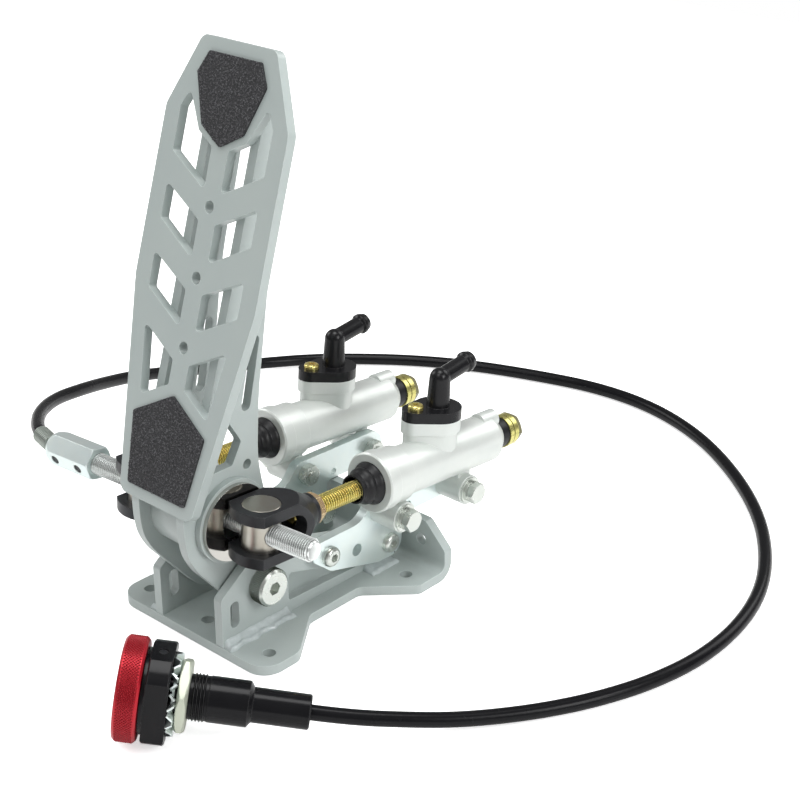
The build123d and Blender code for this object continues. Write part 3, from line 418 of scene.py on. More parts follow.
GRIT = Finish(
    "mineral_grain", (0.030, 0.030, 0.032), 0.45, relief=Relief(2e-5, 2500.0),
    tint=Tint((0.13, 0.13, 0.14), 0.9, 900.0), edge=2e-5)
SHEATH = Finish(
    "cable_sheath", (0.005, 0.005, 0.006), 0.26, relief=Relief(3e-5, 500.0, Surface.MOULDED),
    tint=Tint((0.009, 0.009, 0.010), 0.5, 60.0), edge=1e-4, specular=0.15)
SLEEVE = Finish("drive_sleeve", (0.30, 0.33, 0.30), 0.38, metallic=0.7, relief=Relief(1e-5, 1400.0))


# Shapes


THREAD_RUN = (0.0, 0.16, 0.50, 0.66)
THREAD_GROOVE = (1.0, 1.0, 0.0, 0.0)
THREAD_DEPTH = 0.62
THREAD_CHAMFER = 1.1
WIRE_SIDES = 10
STEPS_PER_TURN = 32


@dataclass
class Shell:
    """One closed surface in millimetres, with a value from 0 to 1 for each point that lies in a groove, which
    sets painted shade there.
    """

    points: np.ndarray
    faces: Faces
    groove: Optional[np.ndarray] = None

    def moved(self, place: Matrix) -> "Shell":
        """Turn and shift the surface by a matrix in millimetres."""
        turn = np.array(place.to_3x3())
        return Shell(self.points @ turn.T + np.array(place.translation), self.faces, self.groove)


def joined(shells: Sequence[Shell]) -> Shell:
    """Several surfaces as one."""
    points, faces, grooves, count = [], [], [], 0
    for shell in shells:
        points.append(shell.points)
        grooves.append(np.zeros(len(shell.points)) if shell.groove is None else shell.groove)
        faces.extend(tuple(i + count for i in face) for face in shell.faces)
        count += len(shell.points)
    return Shell(np.vstack(points), faces, np.concatenate(grooves))


def tube_faces(rings: int, around: int) -> Faces:
    """Faces between rings of points, and the two caps, which come last."""
    faces = [(low + i, low + (i + 1) % around, low + around + (i + 1) % around, low + around + i)
             for low in range(0, (rings - 1) * around, around) for i in range(around)]
    return [*faces, tuple(reversed(range(around))), tuple(range((rings - 1) * around, rings * around))]


def turned_points(stations: np.ndarray, radii: np.ndarray, angles: np.ndarray) -> np.ndarray:
    """Points at stations along X, with their radii and angles about it."""
    stations, radii, angles = np.broadcast_arrays(stations, radii, angles)
    return np.stack([stations, radii * np.cos(angles), radii * np.sin(angles)], -1).reshape(-1, 3)


def turned_grid(stations: np.ndarray, radii: np.ndarray) -> Shell:
    """Surface about X.

    Args:
        stations: X of each ring of points.
        radii: one row of radii for each station.

    Returns:
        The surface with its two ends closed.
    """
    rings, around = radii.shape
    angles = np.linspace(0.0, 2.0 * math.pi, around, endpoint=False)
    return Shell(turned_points(stations[:, None], radii, angles), tube_faces(rings, around))


def lathe(profile: Sequence[Pair], around: int = 64) -> Shell:
    """Solid turned about X from (x, radius) points."""
    stations = np.array([x for x, _ in profile])
    radii = np.repeat(np.array([[r] for _, r in profile]), around, 1)
    return turned_grid(stations, radii)


def hollow_lathe(profile: Sequence[Pair], around: int = 64) -> Shell:
    """Ring turned about X from a closed (x, radius) section that runs forward outside and back inside."""
    shell = lathe([*profile, profile[0]], around)
    count, last = len(profile) * around, len(shell.points) - around
    faces = [tuple(i - count if i >= last else i for i in face) for face in shell.faces[:-2]]
    return Shell(shell.points[:count], faces)


def thread(start: float, end: float, crest: float, pitch: float, around: int = 40) -> Shell:
    """Threaded rod along X, its faces following the helix.

    Each turn has four points, two in the groove and two on the crest; their places are shares of the pitch.

    Args:
        start: first end of the thread.
        end: last end of the thread.
        crest: outer radius.
        pitch: distance from crest to crest.
        around: points round the rod.

    Returns:
        The rod's surface, with chamfered ends.
    """
    offsets = np.array(THREAD_RUN) * pitch
    heights = crest - THREAD_DEPTH * np.array(THREAD_GROOVE) * pitch
    turns = int(math.ceil((end - start) / pitch)) + 2
    steps = np.arange(turns * around + 1)
    stations = start + (steps[:, None] / around - 1.5) * pitch + offsets[None, :]
    radii = np.repeat(heights[None, :], len(steps), 0)
    inset = np.minimum(stations - start, end - stations)
    radii = np.minimum(radii, crest - THREAD_CHAMFER * pitch + np.maximum(inset, 0.0))
    stations = np.clip(stations, start, end)
    angles = (2.0 * math.pi / around * steps)[:, None]
    faces: Faces = []
    for step in range(len(steps) - 1):
        low, high = 4 * step, 4 * (step + 1)
        faces.extend((low + i, high + i, high + i + 1, low + i + 1) for i in range(3))
        if step + 1 + around < len(steps):
            faces.append((low + 3, high + 3, high + 4 * around, low + 4 * around))
    faces.append(tuple(4 * i for i in range(around)))
    last = len(steps) - around
    faces.append(tuple(reversed([4 * i + 3 for i in range(last, len(steps))])))
    # the groove values paint shade into the thread's hollows
    return Shell(turned_points(stations, radii, angles), faces, np.tile(THREAD_GROOVE, len(steps)))


def coil(start: float, end: float, radius: float, wire: float, turns: int) -> Shell:
    """Coil spring about X.

    Args:
        start: X of the wire's first centre.
        end: X of the wire's last centre.
        radius: radius of the coils.
        wire: radius of the wire.
        turns: number of coils.

    Returns:
        The wire's surface with its two ends closed.
    """
    rings = turns * STEPS_PER_TURN + 1
    angles = np.linspace(0.0, 2.0 * math.pi * turns, rings)[:, None]
    around = np.linspace(0.0, 2.0 * math.pi, WIRE_SIDES, endpoint=False)[None, :]
    stations = np.linspace(start, end, rings)[:, None] + wire * np.sin(around)
    points = turned_points(stations, radius + wire * np.cos(around), angles)
    return Shell(points, tube_faces(rings, WIRE_SIDES))


def turned_about(axis: str, degrees: float) -> Matrix:
    """Turn about one axis."""
    return Matrix.Rotation(math.radians(degrees), 4, axis)


def shifted(x: float, y: float, z: float) -> Matrix:
    """Shift in millimetres."""
    return Matrix.Translation((x, y, z))


def metres(place: Matrix) -> Matrix:
    """A millimetre placement for a mesh in metres."""
    made = place.copy()
    made.translation = place.translation * MM
    return made


# Geometry Nodes


FRONT_LIMIT = 0.9
GRAIN_TURN = (6.28, 6.28, 6.28)
GRAIN_SIZES = (0.55, 1.25)


class Repeat:
    """A Geometry Nodes tree that repeats a small shape, with named inputs."""

    def __init__(self, name: str, inputs: Sequence[tuple[str, str, Any]]) -> None:
        """Start a tree.

        Args:
            name: the tree's name.
            inputs: name, socket type and value of each input after the geometry.
        """
        self.tree = bpy.data.node_groups.new(name, "GeometryNodeTree")
        face = self.tree.interface
        face.new_socket("Geometry", in_out="INPUT", socket_type="NodeSocketGeometry")
        face.new_socket("Geometry", in_out="OUTPUT", socket_type="NodeSocketGeometry")
        self.values: dict[str, Any] = {}
        for label, kind, value in inputs:
            made = face.new_socket(label, in_out="INPUT", socket_type=kind)
            self.values[made.identifier] = value
        self.graph = Graph(self.tree)
        self.group_input = self.tree.nodes.new("NodeGroupInput")

    def value(self, label: str) -> Signal:
        """One named input of the tree."""
        return Signal(self.tree, self.group_input.outputs[label])

    def close(self, geometry: Signal) -> None:
        """End the tree in real geometry with its material."""
        real = self.graph.node("GeometryNodeRealizeInstances", {0: geometry})
        dressed = self.graph.node("GeometryNodeSetMaterial",
                                  {"Geometry": real, "Material": self.value("Material")})
        self.graph.node("NodeGroupOutput", {0: dressed})

    def shape(self) -> Signal:
        """Geometry of the small shape."""
        return self.graph.node("GeometryNodeObjectInfo", {"Object": self.value("Shape")}, "Geometry")

    def applied(self, shape: bpy.types.Object, host: Optional[bpy.types.Object] = None) -> bpy.types.Mesh:
        """Run the tree and remove its helpers.

        Args:
            shape: the small shape that it repeats.
            host: the object that it runs on, or None for a tree that makes all its own geometry.

        Returns:
            The result as a plain mesh.
        """
        host = host or in_scene("host", bpy.data.meshes.new("host"))
        modifier = host.modifiers.new("repeat", "NODES")
        modifier.node_group = self.tree
        for identifier, value in self.values.items():
            modifier[identifier] = value
        mesh = evaluated(host)
        host.modifiers.remove(modifier)
        discard(host, shape)
        return mesh


def rings_tree(shape: bpy.types.Object, material: bpy.types.Material, count: int, rows: int,
               radius: float, step: float) -> Repeat:
    """Tree that sets a shape in staggered rings about X.

    Args:
        shape: the small shape, with +Y pointing outwards.
        material: finish of the result.
        count: shapes in each ring.
        rows: number of rings.
        radius: radius of the rings.
        step: distance between rings.

    Returns:
        The tree, whose first ring stands at X zero.
    """
    made = Repeat("rings_" + shape.name, [
        ("Shape", "NodeSocketObject", shape), ("Count", "NodeSocketInt", count),
        ("Rows", "NodeSocketInt", rows), ("Radius", "NodeSocketFloat", radius),
        ("Step", "NodeSocketFloat", step), ("Material", "NodeSocketMaterial", material)])
    graph, each = made.graph, made.value("Count")
    index = graph.node("GeometryNodeInputIndex")
    row = (index / each).math("FLOOR")
    angle = (index - row * each + (row % 2.0) * 0.5) * (2.0 * math.pi) / each
    radius_in = made.value("Radius")
    place = graph.node("ShaderNodeCombineXYZ", {
        0: row * made.value("Step"), 1: radius_in * angle.math("COSINE"), 2: radius_in * angle.math("SINE")})
    points = graph.node("GeometryNodePoints", {"Count": each * made.value("Rows"), "Position": place})
    turn = graph.node("ShaderNodeCombineXYZ", {0: angle})
    placed = graph.node("GeometryNodeInstanceOnPoints",
                        {"Points": points, "Instance": made.shape(), "Rotation": turn})
    made.close(placed)
    return made


def grains_tree(shape: bpy.types.Object, material: bpy.types.Material, front: Point, density: float,
                seed: int) -> Repeat:
    """Tree that scatters grains over the host's front faces.

    Args:
        shape: one grain.
        material: finish of the grains.
        front: direction that the front faces.
        density: grains per square metre.
        seed: seed of the scatter.

    Returns:
        The tree.
    """
    made = Repeat("grains", [
        ("Shape", "NodeSocketObject", shape), ("Front", "NodeSocketVector", front),
        ("Density", "NodeSocketFloat", density), ("Seed", "NodeSocketInt", seed),
        ("Material", "NodeSocketMaterial", material)])
    graph = made.graph
    facing = graph.node("ShaderNodeVectorMath",
                        {0: graph.node("GeometryNodeInputNormal"), 1: made.value("Front")}, "Value",
                        operation="DOT_PRODUCT")
    spread = graph.node("GeometryNodeDistributePointsOnFaces",
                        {"Mesh": made.value("Geometry"), "Selection": facing.math("GREATER_THAN", FRONT_LIMIT),
                         "Density": made.value("Density"), "Seed": made.value("Seed")})
    turn = graph.node("FunctionNodeRandomValue",
                      {"Max": GRAIN_TURN, "Seed": made.value("Seed")}, data_type="FLOAT_VECTOR")
    size = graph.node("FunctionNodeRandomValue",
                      {2: GRAIN_SIZES[0], 3: GRAIN_SIZES[1], "Seed": made.value("Seed")}, 1, data_type="FLOAT")
    placed = graph.node("GeometryNodeInstanceOnPoints",
                        {"Points": spread, "Instance": made.shape(), "Rotation": turn, "Scale": size})
    made.close(placed)
    return made


# Workshop


class Workshop:
    """Makes objects, dresses them and hangs them on the frame's bodies."""

    def __init__(self, frame: dict[str, Any]) -> None:
        """Take the loaded frame."""
        self.frame = frame
        self.materials: dict[str, bpy.types.Material] = {}

    def material(self, finish: Finish) -> bpy.types.Material:
        """The material of a finish, made once."""
        if finish.name not in self.materials:
            self.materials[finish.name] = finish.material()
        return self.materials[finish.name]

    def dress(self, finish: Finish, *nodes: str) -> None:
        """Give a finish to pieces of the frame."""
        for node in nodes:
            mesh = self.frame["nodes"][node].data
            mesh.materials.clear()
            mesh.materials.append(self.material(finish))
            LOG.info("%s: %s", node, finish.name)

    def shape(self, name: str, shell: Shell) -> bpy.types.Object:
        """A mesh object in metres, smooth but for its sharp edges."""
        mesh = bpy.data.meshes.new(name)
        mesh.from_pydata((shell.points * MM).tolist(), [], shell.faces)
        # the groove attribute drives the painted shade in the material
        if shell.groove is not None:
            mesh.attributes.new("groove", "FLOAT", "POINT").data.foreach_set("value", shell.groove)
        cleaned = bmesh.new()
        cleaned.from_mesh(mesh)
        bmesh.ops.remove_doubles(cleaned, verts=cleaned.verts, dist=MERGE_DISTANCE)
        bmesh.ops.recalc_face_normals(cleaned, faces=cleaned.faces)
        cleaned.to_mesh(mesh)
        cleaned.free()
        mesh.polygons.foreach_set("use_smooth", [True] * len(mesh.polygons))
        mesh.set_sharp_from_angle(angle=math.radians(SHARP_ANGLE))
        mesh.update()
        return in_scene(name, mesh)

    def hang(self, made: bpy.types.Object, finish: Optional[Finish], body: str, slot: str,
             *nodes: str) -> bpy.types.Object:
        """Finish a piece.

        Args:
            made: the piece.
            finish: its finish, or None where it already has one.
            body: the body that it rides on.
            slot: the record's material slot; not used.
            nodes: the frame's pieces that it stands for.

        Returns:
            The piece.
        """
        if finish is not None:
            made.data.materials.clear()
            made.data.materials.append(self.material(finish))
        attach(made, body)
        if nodes:
            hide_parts(*nodes)
        LOG.info("%s rides on %s", made.name, body)
        return made

    def piece(self, name: str, shell: Shell, finish: Finish, body: str, slot: str,
              *nodes: str) -> bpy.types.Object:
        """Make and hang one piece."""
        return self.hang(self.shape(name, shell), finish, body, slot, *nodes)

    def repeated(self, name: str, mesh: bpy.types.Mesh, place: Matrix, body: str,
                 slot: str) -> bpy.types.Object:
        """Hang the result of a repeating tree.

        Args:
            name: the piece's name.
            mesh: the result, with its finish.
            place: turn and shift of the result, in millimetres.
            body: the body that it rides on.
            slot: the record's material slot.

        Returns:
            The piece.
        """
        mesh.transform(metres(place))
        return self.hang(in_scene(name, mesh), None, body, slot)


# Sub-assemblies


@dataclass
class PedalBox:
    """Welded frame with its brackets, bolts and the knurled pivot bolt.

    Each fillet has its run along Y, its two legs and the seed of its waves, which have a length and a size.
    """

    outer_x: float = 24.2
    floor_z: float = 5.0
    fillets: tuple[tuple[Pair, Pair, int], ...] = (
        ((-11.6, 31.0), (5.3, 3.8), 3), ((83.0, 103.0), (7.8, 3.1), 12))
    bead_step: float = 0.3
    bead_ends: float = 1.6
    swell_waves: Pairs = ((13.0, 0.05), (6.1, 0.03))
    sway_waves: Pairs = ((12.0, 0.40), (5.1, 0.16))
    crest_waves: Pairs = ((6.7, 0.09), (2.9, 0.05))
    bead_section: Pairs = (
        (-0.06, 1.0), (0.04, 1.02), (0.10, 0.88), (0.28, 0.68), (0.48, 0.50), (0.60, 0.46), (0.72, 0.50),
        (0.84, 0.45), (0.94, 0.28), (1.0, 0.06), (1.0, -0.08), (-0.06, -0.08))
    pivot: Point = (24.7, 14.7, 29.0)
    knurl_r: float = 9.2
    knurl_length: float = 6.2
    knurl_count: int = 64

    def bead(self, side: int, run: Pair, legs: Pair, seed: int) -> Shell:
        """Wavy fillet bead along the foot of one side plate.

        Args:
            side: -1 for the left plate, 1 for the right one.
            run: first and last Y.
            legs: width over the floor plate and height up the side plate.
            seed: seed of its waves.

        Returns:
            The bead's surface.
        """
        draw = np.random.default_rng(seed)
        along = np.arange(run[0], run[1] + 0.01, self.bead_step)
        swell, sway, crest = (
            sum(size * np.sin(2.0 * math.pi * (along / length + draw.random())) for length, size in waves)
            for waves in (self.swell_waves, self.sway_waves, self.crest_waves))
        ends = np.sqrt(np.clip(np.minimum(along - run[0], run[1] - along) / self.bead_ends, 0.02, 1.0))
        rows = []
        for out, up in self.bead_section:
            ripple = swell if out < 0.5 or up < 0.2 else crest
            x = legs[0] * out * (1.0 + swell * out) + sway * np.clip(out - 0.2, 0.0, 1.0)
            z = legs[1] * up * (1.0 + ripple) * (ends if up > 0.0 else 1.0)
            rows.append(np.stack([side * (self.outer_x + x), along, self.floor_z + z], -1))
        points = np.stack(rows, 1)
        return Shell(points.reshape(-1, 3), tube_faces(*points.shape[:2]))

    def welds(self, shop: Workshop) -> None:
        """Fillet beads along the outer foot of both side plates."""
        shells = [self.bead(side, run, legs, seed + side) for run, legs, seed in self.fillets for side in SIDES]
        shop.piece("weld_beads", joined(shells), WELD, "frame", "powder_coat", "frame_welds")

    def knurl(self, shop: Workshop) -> None:
        """Straight knurl round the pivot bolt's head."""
        # the last array marks the ridge's foot for painted shade
        ridge = Shell(np.array([(x, y, z) for x in (0.0, self.knurl_length)
                                for y, z in ((-0.4, -0.5), (-0.4, 0.5), (0.35, 0.0))]),
                      [(0, 1, 2), (5, 4, 3), (0, 3, 4, 1), (1, 4, 5, 2), (2, 5, 3, 0)],
                      np.array([1.0, 1.0, 0.0, 1.0, 1.0, 0.0]))
        shape = shop.shape("pivot_ridge", ridge)
        tree = rings_tree(shape, shop.material(DARK_STEEL), self.knurl_count, 1, self.knurl_r * MM, MM)
        shop.repeated("pivot_bolt_knurl", tree.applied(shape), shifted(*self.pivot), "frame", "stainless")

    def build(self, shop: Workshop) -> None:
        """Dress the frame and add its welds and knurl."""
        shop.dress(POWDER, "base_plate", "side_plate_left", "side_plate_right")
        shop.dress(BRIGHT_ZINC, "bracket_left", "bracket_right")
        shop.dress(STAINLESS, "bracket_bolts", "bracket_nuts", "cylinder_bolts", "cylinder_washers",
                   "spring_washers", "cylinder_nuts", "pivot_bolt", "pivot_nut")
        self.welds(shop)
        self.knurl(shop)


@dataclass
class Pedal:
    """Welded pedal with grit strips on its pad."""

    tilt: float = 17.6
    grain: float = 0.34
    grain_profile: Pairs = ((-0.8, 0.35), (-0.2, 1.0), (0.5, 0.7), (0.9, 0.2))
    grains_per_mm2: float = 1.7
    seeds: tuple[tuple[str, int], ...] = (("grip_upper", 11), ("grip_lower", 29))

    def grit(self, shop: Workshop, node: str, seed: int) -> None:
        """Grains over the front of one grit strip."""
        grain = lathe(self.grain_profile, 5)
        shape = shop.shape(node + "_grain", Shell(grain.points * self.grain, grain.faces))
        host = in_scene(node + "_host", shop.frame["nodes"][node].data.copy())
        tilt = math.radians(self.tilt)
        tree = grains_tree(shape, shop.material(GRIT), (0.0, -math.cos(tilt), math.sin(tilt)),
                           self.grains_per_mm2 * 1e6, seed)
        shop.repeated(node + "_grains", tree.applied(shape, host), Matrix.Identity(4), "pedal", "grit_tape")

    def build(self, shop: Workshop) -> None:
        """Dress the pedal and strew its grit."""
        shop.dress(POWDER, "pedal_pad", "arm_left", "arm_right", "bias_tube", "pivot_tube")
        shop.dress(GRIT_BED, "grip_upper", "grip_lower")
        shop.dress(BRONZE, "pivot_bushes")
        shop.dress(STAINLESS, "bearing_race")
        shop.dress(MIRROR_STEEL, "side_discs")
        for node, seed in self.seeds:
            self.grit(shop, node, seed)


@dataclass
class BalanceBar:
    """Threaded bar across the pedal, with its coupler."""

    origin: Point = (0.0, 0.6, 67.4)
    yaw: float = 4.68
    left: float = -86.0
    right: float = 68.6
    crest: float = 5.55
    pitch: float = 1.27

    def place(self) -> Matrix:
        """The bar's own frame, along X."""
        return shifted(*self.origin) @ turned_about("Z", self.yaw)

    def build(self, shop: Workshop) -> None:
        """Cut the bar's thread and dress its pieces."""
        shop.dress(MIRROR_STEEL, "bearing_ball")
        shop.dress(BRIGHT_ZINC, "coupler")
        shop.dress(BLACK_OXIDE, "grub_screws")
        shell = thread(self.left, self.right, self.crest, self.pitch)
        shop.piece("balance_bar_thread", shell.moved(self.place()), ZINC_THREAD, "bar", "clear_zinc",
                   "balance_bar")


@dataclass
class PushRod:
    """Threaded rod from one clevis into its master cylinder."""

    side: int
    bar: BalanceBar
    seat: Pair = (95.524, 61.057)
    half_spread: float = 36.4
    start: float = 18.5
    crest: float = 4.75
    pitch: float = 1.5
    neck: float = 8.0
    neck_r: float = 3.2
    ball_r: float = 5.2
    ball_span: Pair = (-0.28, 0.5)
    ball_steps: int = 12

    def place(self) -> tuple[Matrix, float]:
        """The rod's own frame, along X, and its length."""
        start_y = self.bar.origin[1] + self.side * self.half_spread * math.tan(math.radians(self.bar.yaw))
        reach, drop = self.seat[0] - start_y, self.bar.origin[2] - self.seat[1]
        fall = math.degrees(math.atan2(drop, reach))
        frame = shifted(self.side * self.half_spread, start_y, self.bar.origin[2])
        return frame @ turned_about("X", -fall) @ turned_about("Z", 90), math.hypot(reach, drop)

    def build(self, shop: Workshop) -> None:
        """Cut the rod's thread and dress the pieces round it."""
        name = SIDES[self.side]
        shop.dress(BURNISHED, f"trunnion_{name}")
        shop.dress(BLACK_OXIDE, f"clevis_{name}")
        shop.dress(COPPER_ZINC, f"jam_nut_{name}")
        place, length = self.place()
        end = length - self.neck
        angles = np.linspace(*(share * math.pi for share in self.ball_span), self.ball_steps)
        ball = [(length + self.ball_r * math.sin(a), max(0.05, self.ball_r * math.cos(a))) for a in angles]
        shells = [thread(self.start, end, self.crest, self.pitch),
                  lathe([(end - 1.0, self.neck_r), *ball], 32)]
        shop.piece(f"pushrod_{name}_thread", joined(shells).moved(place), YELLOW_ZINC, f"rod_{name}",
                   "yellow_zinc", f"pushrod_{name}")


@dataclass
class MasterCylinder:
    """Cast master cylinder with its rubber boot and fittings."""

    side: int
    mouth: Point = (36.4, 75.6, 62.8)
    drop: float = 5.0
    boot: Pairs = (
        (-11.5, 6.4), (-11.4, 7.2), (-9.8, 7.5), (-9.1, 7.1), (-8.4, 7.2), (-7.2, 8.2), (-5.8, 9.1),
        (-4.4, 9.2), (-3.6, 8.7), (-2.8, 9.0), (-1.4, 10.2), (-0.3, 10.7), (1.4, 10.8), (5.0, 10.8),
        (5.0, 9.2), (0.0, 8.7), (-4.0, 7.7), (-7.2, 6.4))
    spring: Pair = (49.3, 85.0)
    spring_r: float = 6.6
    spring_wire: float = 0.7
    spring_turns: int = 7
    spring_left: float = 0.56

    def place(self) -> Matrix:
        """The bore's own frame, along X."""
        x, y, z = self.mouth
        return shifted(self.side * x, y, z) @ turned_about("X", -self.drop) @ turned_about("Z", 90)

    def build(self, shop: Workshop) -> None:
        """Dress the cylinder and turn its boot."""
        name = SIDES[self.side]
        shop.dress(CAST, f"cylinder_{name}", f"piston_{name}")
        shop.dress(BLACK_PLASTIC, f"adaptor_{name}")
        shop.dress(RUBBER, f"piston_seals_{name}")
        place = self.place()
        shop.piece(f"boot_{name}", hollow_lathe(self.boot).moved(place), RUBBER, "frame", "black_rubber",
                   "boots")
        wire = coil(*self.spring, self.spring_r, self.spring_wire, self.spring_turns)
        spring = shop.piece(f"spring_{name}", wire.moved(place), STAINLESS, "frame", "stainless",
                            f"return_spring_{name}")
        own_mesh(spring)


@dataclass
class RemoteAdjuster:
    """Floor-lying bias adjuster with a knurled red knob."""

    origin: Point = (36.35, -82.63, 25.5592)
    heading: float = 41.3
    tilt: float = 8.5
    knob_r: float = 22.9
    knurl_start: float = 1.75
    knurl_rows: int = 10
    knurl_step: float = 0.75
    knurl_count: int = 96
    knurl_half: Pair = (0.75, 0.75)
    knurl_rise: float = 0.45
    washer_start: float = 22.3
    washer_t: float = 3.3
    washer_r: tuple[float, float, float] = (10.6, 13.4, 18.4)
    tooth_half: float = 1.75
    tooth_twist: float = 48.0
    tooth_count: int = 12
    tooth_t: float = 0.8
    band_t: float = 1.0
    nut: Pair = (25.7, 30.3)
    nut_flats: float = 31.0
    nut_corner: tuple[float, float, float] = (1.4, 0.4, 1.9)
    nut_around: int = 96
    stem: Pair = (30.3, 38.9)
    stem_r: float = 10.65
    stem_pitch: float = 1.5

    def place(self) -> Matrix:
        """The adjuster's own frame, along X."""
        return shifted(*self.origin) @ turned_about("Z", self.heading) @ turned_about("Y", self.tilt)

    def knurl(self, shop: Workshop) -> bpy.types.Object:
        """Diamond knurl round the knob."""
        (long, wide), low, high = self.knurl_half, -0.1, self.knurl_rise
        points = np.array([(-long, low, 0), (0, low, wide), (long, low, 0), (0, low, -wide), (0, high, 0)])
        faces = [(3, 2, 1, 0), (0, 1, 4), (1, 2, 4), (2, 3, 4), (3, 0, 4)]
        # the diamond's base points carry painted shade through the groove values
        shape = shop.shape("knob_diamond", Shell(points, faces, np.array([1.0, 1.0, 1.0, 1.0, 0.0])))
        tree = rings_tree(shape, shop.material(RED_ANODISED), self.knurl_count, self.knurl_rows,
                          self.knob_r * MM, self.knurl_step * MM)
        return shop.repeated("adjuster_knob_knurl", tree.applied(shape),
                             self.place() @ shifted(self.knurl_start, 0, 0), "knob", "red_anodised")

    def star_washer(self, shop: Workshop) -> bpy.types.Object:
        """Lock washer with teeth that are twisted in turn to one side and the other."""
        inner, root, tip = self.washer_r
        middle, edge = self.washer_start + self.washer_t / 2, self.band_t / 2
        band = shop.shape("washer_band", hollow_lathe([
            (middle - edge, root), (middle + edge, root), (middle + edge, inner), (middle - edge, inner)]))
        whole = bmesh.new()
        whole.from_mesh(band.data)
        discard(band)
        half, thick = self.tooth_half, self.tooth_t / 2
        corners = np.array([(x, y, z) for y in (root - thick, tip) for x, z in (
            (-thick, -half), (thick, -half), (thick, half), (-thick, half))])
        tooth = Shell(corners, tube_faces(2, 4))
        for index, twist in enumerate((self.tooth_twist, -self.tooth_twist)):
            shape = shop.shape("washer_tooth", tooth.moved(turned_about("Y", twist)))
            teeth = rings_tree(shape, shop.material(BRIGHT_ZINC), self.tooth_count, 1, 0.0, MM).applied(shape)
            turn = turned_about("X", 180.0 / self.tooth_count * index)
            teeth.transform(metres(shifted(middle, 0, 0) @ turn))
            whole.from_mesh(teeth)
        star = bpy.data.meshes.new("star_washer")
        whole.to_mesh(star)
        whole.free()
        star.transform(metres(self.place()))
        return shop.hang(in_scene("star_washer", star), BRIGHT_ZINC, "frame", "clear_zinc", "tooth_washer")

    def panel_nut(self, shop: Workshop) -> bpy.types.Object:
        """Hexagonal nut whose corners are turned off by a cone of some length, inset and slope at both ends."""
        (start, end), (length, low, slope) = self.nut, self.nut_corner
        flat = self.nut_flats / 2
        stations = np.concatenate([np.linspace(start, start + length, 6), np.linspace(end - length, end, 6)])
        angles = np.linspace(0.0, 2.0 * math.pi, self.nut_around, endpoint=False)
        hexagon = flat / np.cos((angles + math.pi / 6) % (math.pi / 3) - math.pi / 6)
        inset = np.minimum(stations - start, end - stations)
        radii = np.minimum(hexagon[None, :], flat - low + slope * inset[:, None])
        return shop.piece("panel_nut", turned_grid(stations, radii).moved(self.place()), DULL_ZINC, "frame",
                          "clear_zinc", "adjuster_nut")

    def build(self, shop: Workshop) -> list[bpy.types.Object]:
        """Dress the adjuster and add its knurl, star washer, nut and stem thread.

        Returns:
            The pieces that are added.
        """
        shop.dress(RED_ANODISED, "adjuster_knob")
        shop.dress(BLACK_ANODISED, "adjuster_body", "adjuster_barrel")
        shop.dress(BLACK_OXIDE, "adjuster_set_screw")
        added = [self.knurl(shop), self.star_washer(shop), self.panel_nut(shop)]
        stem = thread(*self.stem, self.stem_r, self.stem_pitch, 64).moved(self.place())
        return [*added, shop.piece("adjuster_stem_thread", stem, BLACK_ANODISED, "frame", "black_anodised")]


